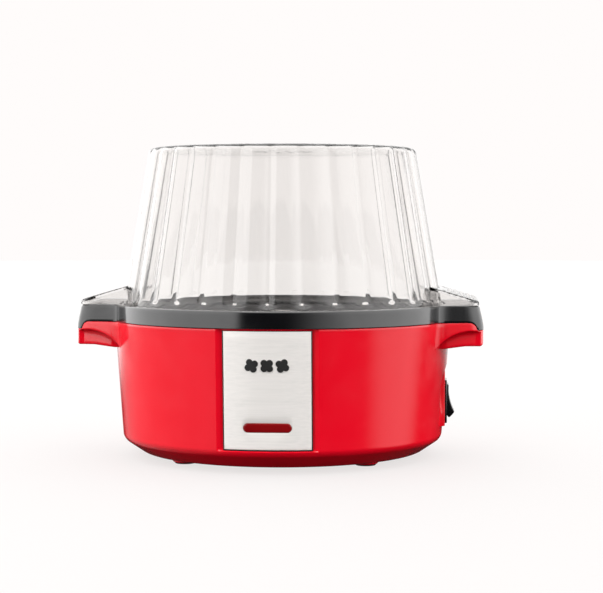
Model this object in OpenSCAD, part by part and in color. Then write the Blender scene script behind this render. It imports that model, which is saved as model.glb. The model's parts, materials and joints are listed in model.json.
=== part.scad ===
// Countertop popcorn maker: a round base with two finger-hold handles, a fixed non-stick plate,
// a motor-driven stirring rod and a clear fluted dome that lifts off and turns over as a bowl.
// Millimetres. The origin is on the table under the middle of the base, +Z up, front towards -Y.

/* [Base] */
// Outer radius of the base wall at its top edge
wall_top_r = 129.3; // [129:0.1:129.6]
// Outer radius of the base wall at its lower corner
wall_low_r = 122.8; // [122:0.1:124]
// Height of the wall's top edge
wall_top_z = 103.8; // [103.5:0.1:103.9]
// Height of the wall's lower corner
wall_low_z = 15.5; // [15:0.1:16]
// Thickness of the base wall
wall_t = 3; // [2.8:0.1:3.2]
// Outer radius of the flat underside
under_r = 106.5; // [105:0.5:108]
// Height of the flat underside above the table
under_z = 3; // [2.5:0.1:3.2]
// Radius of the opening that the bottom cover closes
cover_hole_r = 100; // [98:0.5:101]

/* [Handles] */
// Distance from the middle to the tip of a handle
handle_tip_x = 153.9; // [153:0.1:156]
// Half of a handle's width, front to rear
handle_half_w = 46; // [45:0.5:47]
// Corner radius of a handle, seen from above
handle_corner_r = 10; // [9:0.5:11]
// Height of a handle's lower edge
handle_low_z = 86; // [85.5:0.1:86.5]
// Height where a handle's outer lip meets the collar's lip
lip_z = 98.2; // [98:0.1:98.4]
// Radius of the fillets where a wing meets the rim
wing_fillet_r = 9; // [8:0.5:10]

/* [Collar] */
// Outer radius of the collar
collar_r = 130; // [129.8:0.1:130.2]
// Height of the collar's top face
collar_top_z = 116.5; // [116.2:0.1:116.8]
// Height of the ledge that carries the dome
ledge_z = 112; // [111.8:0.1:112.2]

/* [Dome] */
// Outer radius of the dome's wall at the collar's top face
dome_low_r = 122.5; // [122:0.1:122.8]
// Outer radius of the dome's wall at its top
dome_top_r = 102.2; // [101:0.1:104]
// Height of the dome's top face
dome_top_z = 235; // [225:1:240]
// Thickness of the clear plastic
dome_t = 2.4; // [2.2:0.1:2.6]
// Number of flutes round the dome
flutes = 30; // [24:2:36]
// Depth of the grooves between the flutes
groove_depth = 1.3; // [1:0.1:1.5]
// Distance from the middle to the tip of a grip wing
grip_tip_x = 150.5; // [149:0.5:151]
// Half of a grip wing's width, front to rear
grip_half_w = 43; // [41:0.5:44]

/* [Front panel] */
// Width of the steel panel
panel_w = 64; // [62:0.5:66]
// Width of the sloping strip beside the panel
bevel_w = 4.5; // [4:0.5:5]
// Width of the indicator window
lens_w = 34.7; // [33:0.1:36]
// Height of the indicator window
lens_h = 6.8; // [6:0.1:7.4]
// Height of the indicator window's middle above the table
lens_z = 33.6; // [32:0.1:35]

/* [Switch] */
// Height of the rocker's pivot
switch_z = 41.5; // [41:0.1:42]
// Distance from the middle to the rocker's pivot
switch_pivot_x = 119.5; // [119.3:0.1:119.7]
// Angle that the rocker stands at from its middle position
rocker_tilt = 12; // [10:1:12]

/* [Plate] */
// Radius of the heating plate's flat floor
plate_floor_r = 86; // [84:1:88]
// Height of the heating plate's floor
plate_floor_z = 86.5; // [86:0.5:87]
// Thickness of the heating plate
plate_t = 2.5; // [2.2:0.1:2.8]
// Radius of the heating element's ring
element_r = 68; // [64:1:70]

/* [Stirrer] */
// Reach of the longer stirring arm
long_arm = 92; // [88:1:94]
// Reach of the shorter stirring arm
short_arm = 58; // [50:1:64]
// Radius of the stirring wire
wire_r = 1.9; // [1.8:0.1:2]

/* [Gear train] */
// Module of the output gear and its pinion
out_module = 1; // [1]
// Teeth on the output gear
out_teeth = 46; // [46]
// Module of the first reduction
in_module = 0.75; // [0.75]
// Teeth on the idler's larger gear
idler_teeth = 34; // [34]
// Teeth on each pinion
pinion_teeth = 14; // [14]
// Running clearance of each shaft in its bush
run_gap = 0.05; // [0.03:0.01:0.08]

/* [Hidden] */
$fn = 96;
fine = 240;
gap = 0.3;
wall_taper = atan((wall_top_r - wall_low_r) / (wall_top_z - wall_low_z));
flute_lean = atan((dome_low_r - dome_top_r) / (dome_top_z - collar_top_z));

// Gear train layout: the output shaft is on the middle axis
out_reach = out_module * (out_teeth + pinion_teeth) / 2;
in_reach = in_module * (idler_teeth + pinion_teeth) / 2;
idler_y = out_reach;
rotor_y = out_reach - in_reach;
gear_low_z = 35;
gear_high_z = 40;
in_gear_t = 3.5;
out_gear_t = 6;
case_low_z = 31.5;
case_top_z = 50;
case_t = 2;
case_w = 62;
case_back_y = 50;
case_front_y = -31;
cover_t = 2;
bracket_t = 1.5;
bracket_z = case_top_z + cover_t;
bracket_x = 78;
bracket_y = 20;
bracket_hole_r = 8;
can_r = 26;
can_low_z = 9;
axle_r = 1.5;
shaft_r = 4;
shaft_top_z = 106;
drive_flat = 5;
bush_r = 6.5;
motor_screw_xy = [[-26, -26], [26, -26], [-26, 45], [26, 45]];

// Bottom cover, feet and the posts on the cover
cover_gap = 0.4;
cover_plate_t = 2.5;
foot_at = [[67, 64.5], [-67, 64.5], [-67, -64.5], [67, -64.5]];
foot_r = 9.5;
pad_t = 1.2;
post_r = 5;
post_at = [[bracket_x, bracket_y], [-bracket_x, bracket_y],
    [-bracket_x, -bracket_y], [bracket_x, -bracket_y]];
cover_screw_r = 94;
cover_screw_a = [30, 150, 210, 330];
cover_screw_at = [for (a = cover_screw_a) cover_screw_r * [cos(a), sin(a)]];

// Screws that hold the plate up against the collar
collar_screw_r = 1.3;
collar_screw_at = [for (a = [45, 135, 225, 315]) 118.6 * [cos(a), sin(a)]];

// Heat shield and the spacers that hang it under the plate
shield_z = 60;
shield_t = 0.8;
shield_r = 108;
spacer_at = [for (a = [30, 150, 270]) 82 * [cos(a), sin(a)]];

// Heating element
element_tube_r = 3.2;
element_z = plate_floor_z - plate_t - element_tube_r - 0.2;
cold_end_l = 9;
cold_end_a = [-102, -78];

// Front panel depths below the wall's surface
panel_face = 0.8;
panel_t = 0.8;
badge_z = 78;
badge_pitch = 11;
badge_lobe_r = 2.4;
panel_low_z = 17;
panel_top_z = 102.6;

// Switch
bezel_h = 33;
bezel_w = 25;
bezel_t = 1.6;
pad_x = 125.3;
pad_low_z = 23.5;
pad_high_z = 66;
rocker_w = 18.4;
rocker_r = 15.3;
rocker_tip = 43;
rocker_end = 66;

// Cord gland at the rear
gland_z = 24;
gland_bore_r = 3.5;
gland_body_r = 6.5;
gland_seat_y = 122.4;

// ---- Shared shapes ----

function arc(cx, cy, r, a0, a1, n = 8) =
    [for (i = [0 : n]) [cx + r * cos(a0 + (a1 - a0) * i / n), cy + r * sin(a0 + (a1 - a0) * i / n)]];

function wall_r(z) = wall_low_r + (z - wall_low_z) * tan(wall_taper);

// A ring with the wall's taper, from depth_out to depth_in below the wall's surface
module wall_band(depth_out, depth_in, z0, z1) {
    rotate_extrude($fn = fine)
        polygon([[wall_r(z0) - depth_in, z0], [wall_r(z0) - depth_out, z0],
            [wall_r(z1) - depth_out, z1], [wall_r(z1) - depth_in, z1]]);
}

// Extrudes an outline drawn in x and z along y, from y0 to y1
module along_y(y0, y1) {
    translate([0, y1, 0]) rotate([90, 0, 0]) linear_extrude(y1 - y0) children();
}

module mirror_x() {
    children();
    mirror([1, 0, 0]) children();
}

module mirror_y() {
    children();
    mirror([0, 1, 0]) children();
}

module at_each(places) {
    for (p = places) translate([p[0], p[1], 0]) children();
}

// Plan outline of one handle: a strip whose two outer corners are round
module handle_plan(tip, half_w, corner_r, inner = 100) {
    translate([inner, -half_w]) square([tip - corner_r - inner, 2 * half_w]);
    translate([inner, corner_r - half_w]) square([tip - inner, 2 * (half_w - corner_r)]);
    for (s = [-1, 1]) translate([tip - corner_r, s * (half_w - corner_r)]) circle(corner_r);
}

// The concave corner between a round rim of radius rim_r and the side of a handle
module fillet_plan(rim_r, half_w, r) {
    cy = half_w + r;
    cx = sqrt(pow(rim_r + r, 2) - cy * cy);
    for (s = [-1, 1]) scale([1, s]) difference() {
        polygon([[cx - 20, half_w - 2], [cx, half_w - 2], [cx, cy],
            [cx * rim_r / (rim_r + r), cy * rim_r / (rim_r + r)]]);
        translate([cx, cy]) circle(r);
    }
}

// Pan-head screw, head down, its shank rising from z
module screw(z, shank, r = 1.5, head_r = 3, head_t = 2) {
    difference() {
        union() {
            translate([0, 0, z - head_t]) cylinder(h = head_t, r = head_r, $fn = 32);
            translate([0, 0, z]) cylinder(h = shank, r = r, $fn = 24);
        }
        for (a = [0, 90]) rotate(a) translate([-head_r * 0.6, -0.4, z - head_t - 1])
            cube([head_r * 1.2, 0.8, 2]);
    }
}

// A round wire through the points p, with a slightly larger ball at each bend
module wire(p, r) {
    for (i = [0 : len(p) - 2]) {
        v = p[i + 1] - p[i];
        l = norm(v);
        translate(p[i]) rotate([0, acos(v[2] / l), atan2(v[1], v[0])]) cylinder(h = l, r = r, $fn = 16);
    }
    for (i = [1 : len(p) - 2]) translate(p[i]) sphere(r * 1.05, $fn = 32);
}

function unit(v) = v / norm(v);
function heading(p, i) =
    unit((i < len(p) - 1 ? unit(p[i + 1] - p[i]) : [0, 0, 0]) + (i > 0 ? unit(p[i] - p[i - 1]) : [0, 0, 0]));

// An insulated wire swept along the points p, with a ring of sides points at each
module insulated_wire(p, r = 1.1, sides = 8) {
    up = [0.31, 0.17, 0.93];
    points = [for (i = [0 : len(p) - 1]) let (t = heading(p, i), u = unit(cross(up, t)), v = cross(t, u))
        for (k = [0 : sides - 1]) p[i] + r * (u * cos(360 * k / sides) + v * sin(360 * k / sides))];
    last = (len(p) - 1) * sides;
    walls = [for (i = [0 : sides : last - 1], k = [0 : sides - 1]) let (next = (k + 1) % sides)
        each [[i + k, i + sides + k, i + sides + next], [i + k, i + sides + next, i + next]]];
    polyhedron(points, concat([[for (k = [0 : sides - 1]) k]], walls,
        [[for (k = [sides - 1 : -1 : 0]) last + k]]));
}

// ---- Involute gears ----

pressure = 20;
addendum = 0.8;
dedendum = 1.1;
backlash = 0.12;

function inv(a) = tan(a) * 180 / PI - a;
function half_tooth(r, rp, rb, teeth) =
    90 / teeth + inv(pressure) - inv(acos(min(1, rb / r))) - backlash / rp * 90 / PI;

module gear_outline(teeth, m) {
    rp = m * teeth / 2;
    rb = rp * cos(pressure);
    ro = rp + addendum * m;
    rf = rp - dedendum * m;
    rs = max(rb, rf);
    flank = [for (i = [0 : 3]) rs + (ro - rs) * i / 3];
    polygon([for (t = [0 : teeth - 1]) let (mid = 360 * t / teeth) each concat(
        [[rf * cos(mid - half_tooth(rs, rp, rb, teeth)), rf * sin(mid - half_tooth(rs, rp, rb, teeth))]],
        [for (r = flank) let (a = mid - half_tooth(r, rp, rb, teeth)) [r * cos(a), r * sin(a)]],
        [for (i = [3 : -1 : 0]) let (a = mid + half_tooth(flank[i], rp, rb, teeth))
            [flank[i] * cos(a), flank[i] * sin(a)]],
        [[rf * cos(mid + half_tooth(rs, rp, rb, teeth)), rf * sin(mid + half_tooth(rs, rp, rb, teeth))]])]);
}

// ---- Base ----

module housing_outside() {
    corner_r = 3;
    rotate_extrude($fn = fine)
        polygon(concat([[0, under_z], [under_r, under_z]],
            [[wall_low_r - 1.6, wall_low_z - 2.6]],
            arc(wall_low_r - corner_r, wall_low_z + 0.6, corner_r, -42, -wall_taper, 6),
            [[wall_r(wall_top_z - 0.8), wall_top_z - 0.8], [wall_top_r - 0.8, wall_top_z], [0, wall_top_z]]));
}

module housing_inside() {
    rotate_extrude($fn = fine)
        polygon([[0, under_z - 1], [cover_hole_r, under_z - 1], [cover_hole_r, under_z + wall_t],
            [under_r - 1, under_z + wall_t], [wall_low_r - wall_t - 1, wall_low_z],
            [wall_r(wall_low_z + 4) - wall_t, wall_low_z + 4], [wall_top_r - wall_t, wall_top_z + 1],
            [0, wall_top_z + 1]]);
}

// Side outline of a red handle, in x and z
module grip_outline() {
    bend_r = 6;
    tip = handle_tip_x - 0.2;
    polygon(concat([[100, handle_low_z - 2], [124, handle_low_z - 2], [140, handle_low_z]],
        arc(tip - 3, handle_low_z + 3, 3, -90, 0, 4),
        [[tip, lip_z - 0.3], [tip - 4.5, lip_z - 0.3]],
        arc(tip - 4.5 - bend_r, wall_top_z - bend_r, bend_r, 5, 90, 6),
        [[100, wall_top_z]]));
}

// Space for the fingers under a handle, in x and z
module finger_space() {
    polygon([[100, handle_low_z - 8], [handle_tip_x - 4, handle_low_z - 8], [handle_tip_x - 4, lip_z - 6],
        [handle_tip_x - 13, wall_top_z - 3], [100, wall_top_z - 3]]);
}

module handle_grip() {
    scoop_r = 33.9;
    difference() {
        intersection() {
            translate([0, 0, handle_low_z - 5]) linear_extrude(30)
                handle_plan(handle_tip_x - 0.2, handle_half_w - 0.2, handle_corner_r);
            along_y(-60, 60) grip_outline();
        }
        along_y(8 - handle_half_w, handle_half_w - 8) finger_space();
        mirror_y() translate([handle_tip_x - 8.5, handle_half_w - 4.5, lip_z - 0.7 - scoop_r])
            rotate([-90, 0, 0]) cylinder(h = 10, r = scoop_r, $fn = fine);
    }
}

module bevel_cut() {
    edge = panel_w / 2 + 0.3;
    r = wall_low_r;
    far = sqrt(r * r - pow(edge + bevel_w, 2));
    near = sqrt(r * r - edge * edge);
    translate([0, 0, wall_low_z]) rotate([wall_taper, 0, 0])
        linear_extrude(panel_top_z - wall_low_z + 0.5)
            polygon([[edge - 1, -near + panel_face], [edge, -near + panel_face], [edge + bevel_w, -far],
                [edge + bevel_w, -far - 8], [edge - 1, -near - 8]]);
}

module lens_outline(grow = 0) {
    h = lens_h + 2 * grow;
    w = lens_w + 2 * grow;
    translate([h / 2 - w / 2, lens_z - h / 2]) square([w - h, h]);
    for (s = [-1, 1]) translate([s * (w - h) / 2, lens_z]) circle(h / 2);
}

module base_housing() {
    scoop_r = 57;
    color("crimson") difference() {
        union() {
            difference() {
                union() {
                    housing_outside();
                    mirror_x() handle_grip();
                }
                housing_inside();
            }
            // Ribs that carry the heat shield
            intersection() {
                housing_outside();
                for (a = [35, 145, 215, 325]) rotate(a) translate([shield_r - 6, -1.5, 30])
                    cube([22, 3, shield_z - 30]);
            }
            // Bosses for the cover screws
            intersection() {
                housing_outside();
                for (a = cover_screw_a) rotate(a)
                    translate([cover_screw_r - 5, -5, under_z + cover_plate_t + 0.1])
                    cube([34, 10, 9]);
            }
            // Thicker wall round the switch
            intersection() {
                housing_outside();
                translate([113, -31, 20]) cube([20, 62, 50]);
            }
            // Flat seat for the cord gland
            intersection() {
                housing_outside();
                translate([0, 100, gland_z]) rotate([-90, 0, 0]) cylinder(h = 40, r = 12);
            }
        }
        // Recess for the steel panel and its sloping edges
        intersection() {
            wall_band(-2, panel_face + panel_t + 0.1, panel_low_z - 0.3, panel_top_z + 0.5);
            translate([-panel_w / 2 - 0.3, -150, 0]) cube([panel_w + 0.6, 60, 120]);
        }
        mirror_x() bevel_cut();
        along_y(-130, -110) lens_outline(0.2);
        // Hollow round the switch, with a flat pad left standing
        difference() {
            translate([pad_x - 3.8 + scoop_r, -30, switch_z + 4.5]) rotate([-90, 0, 0])
                cylinder(h = 60, r = scoop_r, $fn = fine);
            translate([100, -18, pad_low_z]) cube([pad_x - 100, 36, pad_high_z - pad_low_z]);
        }
        translate([pad_x, -18, pad_low_z]) cube([10, 36, pad_high_z - pad_low_z]);
        translate([100, -bezel_w / 2 + 1.2, switch_z - bezel_h / 2 + 0.2])
            cube([40, bezel_w - 2.4, bezel_h - 0.4]);
        at_each(cover_screw_at) translate([0, 0, under_z + 2]) cylinder(h = 9.5, r = 1.5, $fn = 24);
        // Cord gland hole and its seats
        translate([0, 90, gland_z]) rotate([-90, 0, 0]) cylinder(h = 60, r = gland_body_r);
        translate([0, gland_seat_y, gland_z]) rotate([-90, 0, 0]) cylinder(h = 20, r = 10);
        translate([0, 90, gland_z]) rotate([-90, 0, 0]) cylinder(h = gland_seat_y - 4.5 - 90, r = 13);
    }
}

module bottom_cover() {
    color("firebrick") difference() {
        union() {
            translate([0, 0, under_z]) cylinder(h = cover_plate_t, r = cover_hole_r - cover_gap, $fn = fine);
            at_each(post_at) translate([0, 0, under_z])
                cylinder(h = bracket_z - under_z, r = post_r, $fn = 48);
        }
        at_each(post_at) translate([0, 0, bracket_z - 14]) cylinder(h = 20, r = 1.5, $fn = 24);
        // Air slots in two fans
        for (side = [0, 180], i = [-4 : 4]) rotate(side + 90 + i * 7) translate([34, -1.5, under_z - 1])
            cube([26, 3, 10]);
        at_each(cover_screw_at) translate([0, 0, under_z - 1]) cylinder(h = 10, r = 1.7, $fn = 24);
    }
}

module feet() {
    color("darkred") at_each(foot_at) translate([0, 0, pad_t])
        cylinder(h = under_z - pad_t, r = foot_r, $fn = 48);
}

module foot_pads() {
    color("dimgray") at_each(foot_at) cylinder(h = pad_t, r = foot_r - 1.5, $fn = 48);
}

// ---- Front panel ----

module panel_sheet(depth_out, depth_in, side_trim, z0, z1) {
    half = panel_w / 2 - side_trim;
    intersection() {
        wall_band(depth_out, depth_in, z0, z1);
        translate([-half, -150, 0]) cube([2 * half, 60, 120]);
    }
}

module front_panel() {
    color("gainsboro") difference() {
        panel_sheet(panel_face, panel_face + panel_t, 0.8, panel_low_z + 0.8, panel_top_z - 0.3);
        along_y(-130, -110) lens_outline();
    }
}

module panel_trim() {
    color("black") difference() {
        panel_sheet(panel_face + 0.1, panel_face + panel_t, 0, panel_low_z, panel_top_z);
        translate([0.8 - panel_w / 2, -150, panel_low_z + 0.8])
            cube([panel_w - 1.6, 60, panel_top_z - panel_low_z - 1.1]);
    }
}

// Generic mark: a row of three popped kernels, each made of round lobes
module badge_outline() {
    for (x = [-1, 0, 1]) translate([x * badge_pitch, badge_z]) {
        circle(badge_lobe_r * 1.1, $fn = 48);
        for (k = [0 : 3]) rotate(45 + x * 15 + k * 90) translate([badge_lobe_r * 1.15, 0])
            circle(badge_lobe_r, $fn = 48);
    }
}

module panel_badge() {
    color("black") intersection() {
        wall_band(panel_face - 0.25, panel_face, 60, 100);
        along_y(-140, -110) badge_outline();
    }
}

module indicator_lens() {
    color("maroon") intersection() {
        wall_band(panel_face - 0.3, wall_t + 0.6, lens_z - 8, lens_z + 8);
        along_y(-130, -110) lens_outline(-0.1);
    }
}

module indicator_lamp() {
    color("orange") translate([-9, -112.5, lens_z]) rotate([0, 90, 0]) cylinder(h = 18, r = 3, $fn = 32);
    color("orange") for (s = [-1, 1]) translate([s * 7.5, -112.5, lens_z]) rotate([-90, 0, 0])
        cylinder(h = 14, r = 0.6, $fn = 16);
}

// ---- Collar and plate ----

// Side outline of a black wing, in x and z: it turns down over the handle's outer lip
module wing_outline() {
    bend_r = 6;
    top_x = handle_tip_x - 5.2;
    bend_x = handle_tip_x - 0.2 - 4.5 - bend_r;
    base_z = wall_top_z + 0.2;
    polygon(concat([[100, base_z]], arc(bend_x, base_z - bend_r, bend_r + 0.2, 90, 5, 6),
        [[bend_x + bend_r + 0.2, lip_z], [handle_tip_x, lip_z], [handle_tip_x - 0.3, lip_z + 3]],
        arc(top_x - 1.6, collar_top_z - 2, 2, 14, 90, 5), [[100, collar_top_z]]));
}

module rim_collar() {
    base_z = wall_top_z + 0.2;
    seat_r = 125.4;
    inner_r = 116;
    lip_in = wall_top_r - wall_t - 3.4;
    lip_out = wall_top_r - wall_t - 0.6;
    color("black") difference() {
        union() {
            rotate_extrude($fn = fine)
                polygon(concat([[collar_r, base_z]], arc(collar_r - 1.5, collar_top_z - 1.5, 1.5, 0, 90, 5),
                    [[seat_r, collar_top_z], [seat_r, ledge_z], [inner_r, ledge_z], [inner_r, ledge_z - 2.5],
                        [lip_in, ledge_z - 2.5], [lip_in, base_z - 5], [lip_out, base_z - 5],
                        [lip_out, base_z]]));
            mirror_x() difference() {
                intersection() {
                    translate([0, 0, lip_z - 5]) linear_extrude(40) union() {
                        handle_plan(handle_tip_x, handle_half_w, handle_corner_r);
                        fillet_plan(collar_r, handle_half_w, wing_fillet_r);
                    }
                    along_y(-70, 70) wing_outline();
                }
                translate([0, 0, base_z - 10]) cylinder(h = 30, r = collar_r - 2, $fn = fine);
                // Hollow underside of the wing
                translate([collar_r - 5, 3 - handle_half_w, base_z - 1])
                    cube([handle_tip_x - collar_r - 7, 2 * handle_half_w - 6, collar_top_z - base_z - 2]);
            }
        }
        at_each(collar_screw_at) translate([0, 0, ledge_z - 5])
            cylinder(h = 4.5, r = collar_screw_r, $fn = 24);
    }
}

module plate_seal() {
    color("dimgray") difference() {
        translate([0, 0, ledge_z - 3.5]) cylinder(h = 1, r = 116.7, $fn = fine);
        translate([0, 0, ledge_z - 4]) cylinder(h = 3, r = 114.6, $fn = fine);
    }
}

module heating_plate() {
    rim_z = ledge_z - 3.5;
    rim_r = 112;
    low_z = plate_floor_z - plate_t;
    bowl_r = rim_r - plate_floor_r;
    boss_r = 11;
    color("dimgray") difference() {
        rotate_extrude($fn = fine)
            polygon(concat([[bush_r, low_z], [plate_floor_r, low_z]],
                [for (a = [15 : 15 : 75]) [plate_floor_r + (bowl_r + plate_t) * sin(a),
                    low_z + (rim_z - low_z) * (1 - cos(a)) * 0.96]],
                [[rim_r + plate_t, rim_z - 2], [121.5, rim_z - 2], [121.5, rim_z], [rim_r, rim_z]],
                [for (a = [75 : -15 : 15]) [plate_floor_r + bowl_r * sin(a),
                    plate_floor_z + (rim_z - plate_floor_z) * (1 - cos(a)) * 0.96]],
                [[plate_floor_r, plate_floor_z], [boss_r + 7, plate_floor_z], [boss_r, plate_floor_z + 4],
                    [bush_r, plate_floor_z + 4]]));
        at_each(collar_screw_at) cylinder(h = 150, r = collar_screw_r + 0.4, $fn = 24);
    }
}

module heating_element() {
    first = cold_end_a[0];
    span = cold_end_a[1] - first;
    color("darkgray") {
        difference() {
            translate([0, 0, element_z]) rotate_extrude($fn = 144) translate([element_r, 0])
                circle(element_tube_r, $fn = 32);
            rotate(first) translate([0, 0, element_z - 10]) linear_extrude(20)
                polygon([[0, 0], [100, 0], [100 * cos(span), 100 * sin(span)]]);
        }
        for (a = cold_end_a) rotate(a) translate([element_r, 0, element_z - cold_end_l])
            cylinder(h = cold_end_l, r = 2.4, $fn = 32);
        for (a = cold_end_a) rotate(a) translate([element_r, 0, element_z]) sphere(element_tube_r, $fn = 32);
    }
}

module element_clips() {
    z = plate_floor_z - plate_t;
    color("silver") for (a = [20, 140, 210]) rotate(a) difference() {
        translate([element_r - 8, -5, z - 9]) cube([16, 10, 9]);
        translate([element_r, 0, z - 3.4]) rotate([90, 0, 0])
            cylinder(h = 20, r = 4.4, center = true, $fn = 32);
        translate([element_r - 4.4, -6, z - 3.4]) cube([8.8, 12, 8]);
    }
}

module plate_spacers() {
    color("silver") at_each(spacer_at) translate([0, 0, shield_z + shield_t]) difference() {
        cylinder(h = plate_floor_z - plate_t - shield_z - shield_t, r = 4, $fn = 48);
        translate([0, 0, -1]) cylinder(h = 18, r = 1.5, $fn = 24);
    }
}

module heat_shield() {
    color("lightgray") difference() {
        union() {
            translate([0, 0, shield_z]) cylinder(h = shield_t, r = shield_r, $fn = fine);
            translate([0, 0, shield_z]) difference() {
                cylinder(h = 8, r = shield_r, $fn = fine);
                cylinder(h = 20, r = shield_r - shield_t, $fn = fine);
            }
        }
        translate([0, 0, shield_z - 1]) cylinder(h = 3, r = 14);
        at_each(spacer_at) translate([0, 0, shield_z - 1]) cylinder(h = 3, r = 1.8, $fn = 24);
        translate([-20, -80, shield_z - 1]) cube([40, 20, 4]);
        for (a = [60 : 60 : 360]) rotate(a) translate([36, -2, shield_z - 1]) cube([14, 4, 3]);
    }
}

module thermostat() {
    z = plate_floor_z - plate_t;
    color("silver") translate([30, -28, z - 4]) cylinder(h = 4, r = 8.5, $fn = 48);
    color("ivory") translate([30, -28, z - 11]) cylinder(h = 7, r = 7.8, $fn = 48);
}

module thermal_fuse() {
    z = plate_floor_z - plate_t;
    color("white") translate([-38, -30, z - 3.4]) rotate([0, 90, 25]) cylinder(h = 14, r = 2.2, $fn = 24);
}

// ---- Gear motor ----

module shaft_bush() {
    low_z = plate_floor_z - plate_t - 4;
    color("goldenrod") difference() {
        union() {
            translate([0, 0, low_z]) cylinder(h = plate_floor_z + 4.6 - low_z, r = bush_r);
            translate([0, 0, low_z]) cylinder(h = 4, r = bush_r + 2);
            translate([0, 0, plate_floor_z + 4]) cylinder(h = 0.6, r = bush_r + 1.5);
        }
        translate([0, 0, low_z - 1]) cylinder(h = 20, r = shaft_r + run_gap);
    }
}

module drive_shaft() {
    square_z = plate_floor_z + 7;
    color("silver") {
        translate([0, 0, case_low_z + 0.5]) cylinder(h = square_z - case_low_z - 0.5, r = shaft_r);
        translate([-drive_flat / 2, -drive_flat / 2, square_z])
            cube([drive_flat, drive_flat, shaft_top_z - square_z]);
    }
}

module output_gear() {
    color("ivory") translate([0, 0, gear_high_z]) rotate(90) difference() {
        union() {
            linear_extrude(out_gear_t) gear_outline(out_teeth, out_module);
            cylinder(h = 9, r = 9);
        }
        translate([0, 0, -1]) cylinder(h = 20, r = shaft_r);
        for (a = [30 : 60 : 330]) rotate(a) translate([15, 0, -1]) cylinder(h = 12, r = 3.6, $fn = 32);
    }
}

module idler_gear() {
    color("ivory") translate([0, idler_y, 0]) difference() {
        union() {
            translate([0, 0, gear_low_z]) rotate(270) linear_extrude(in_gear_t)
                gear_outline(idler_teeth, in_module);
            translate([0, 0, gear_low_z]) cylinder(h = gear_high_z - gear_low_z, r = 5);
            translate([0, 0, gear_high_z - 1.2]) rotate(270 + 180 / pinion_teeth)
                linear_extrude(out_gear_t + 1.4) gear_outline(pinion_teeth, out_module);
        }
        cylinder(h = 100, r = axle_r + run_gap, $fn = 48);
    }
}

module idler_axle() {
    color("silver") translate([0, idler_y, case_low_z])
        cylinder(h = case_top_z + cover_t - case_low_z, r = axle_r, $fn = 48);
}

module rotor_pinion() {
    color("goldenrod") translate([0, rotor_y, 0]) difference() {
        union() {
            translate([0, 0, gear_low_z - 0.3]) rotate(90 + 180 / pinion_teeth)
                linear_extrude(in_gear_t + 0.6) gear_outline(pinion_teeth, in_module);
            translate([0, 0, 27]) cylinder(h = gear_low_z - 27.3 + 0.1, r = 3.4, $fn = 48);
        }
        cylinder(h = 100, r = axle_r + run_gap, $fn = 48);
    }
}

module rotor_magnet() {
    color("slategray") translate([0, rotor_y, 14]) difference() {
        cylinder(h = 13, r = 11);
        translate([0, 0, -1]) cylinder(h = 20, r = axle_r + run_gap, $fn = 48);
    }
}

module rotor_axle() {
    color("silver") translate([0, rotor_y, can_low_z])
        cylinder(h = gear_high_z - 0.7 - can_low_z, r = axle_r, $fn = 48);
}

module stator_coil() {
    color("chocolate") translate([0, rotor_y, 12]) difference() {
        cylinder(h = 17, r = can_r - 1.6);
        translate([0, 0, -1]) cylinder(h = 20, r = 12);
    }
}

module motor_can() {
    color("silver") translate([0, rotor_y, can_low_z]) difference() {
        cylinder(h = case_low_z - can_low_z, r = can_r);
        translate([0, 0, 1.2]) cylinder(h = 40, r = can_r - 1.2);
        translate([0, 0, -1]) cylinder(h = 20, r = axle_r, $fn = 48);
    }
}

module gearbox_case() {
    r = 6;
    color("whitesmoke") difference() {
        translate([0, 0, case_low_z]) linear_extrude(case_top_z - case_low_z) case_plan(0, r);
        translate([0, 0, case_low_z + case_t]) linear_extrude(40) case_plan(case_t, r - case_t);
        translate([0, rotor_y, 0]) cylinder(h = 60, r = 3.8, $fn = 48);
        translate([0, idler_y, 0]) cylinder(h = 60, r = axle_r, $fn = 48);
        translate([0, 0, case_low_z + 0.4]) cylinder(h = 20, r = shaft_r + run_gap);
    }
    color("whitesmoke") at_each(motor_screw_xy) translate([0, 0, case_low_z + case_t]) difference() {
        cylinder(h = case_top_z - case_low_z - case_t, r = 3.2, $fn = 32);
        translate([0, 0, 4]) cylinder(h = 40, r = 1.2, $fn = 24);
    }
}

module case_plan(inset, r) {
    w = case_w / 2 - inset;
    y0 = case_front_y + inset;
    y1 = case_back_y - inset;
    translate([-w, y0 + r]) square([2 * w, y1 - y0 - 2 * r]);
    translate([-w + r, y0]) square([2 * w - 2 * r, y1 - y0]);
    for (sx = [-1, 1], y = [y0 + r, y1 - r]) translate([sx * (w - r), y]) circle(r, $fn = 48);
}

module gearbox_cover() {
    color("whitesmoke") difference() {
        translate([0, 0, case_top_z]) linear_extrude(cover_t) case_plan(0, 6);
        translate([0, 0, case_top_z - 1]) cylinder(h = 10, r = shaft_r + run_gap);
        translate([0, idler_y, case_top_z - 1]) cylinder(h = 10, r = axle_r, $fn = 48);
        at_each(motor_screw_xy) translate([0, 0, case_top_z - 1]) cylinder(h = 10, r = 1.6, $fn = 24);
    }
}

module motor_bracket() {
    color("lightsteelblue") translate([0, 0, bracket_z]) difference() {
        translate([-bracket_x - 8, -bracket_y - 9, 0])
            cube([2 * bracket_x + 16, 2 * bracket_y + 18, bracket_t]);
        translate([0, 0, -1]) cylinder(h = 5, r = bracket_hole_r);
        at_each(post_at) translate([0, 0, -1]) cylinder(h = 5, r = 1.7, $fn = 24);
        at_each([[-26, -26], [26, -26]]) translate([0, 0, -1]) cylinder(h = 5, r = 1.7, $fn = 24);
        for (s = [-1, 1]) translate([s * 52 - 9, -12, -1]) cube([18, 24, 5]);
    }
}

// ---- Stirrer ----

hub_z = 92.5;
hub_top_z = 104;
hub_r = 11;

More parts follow.
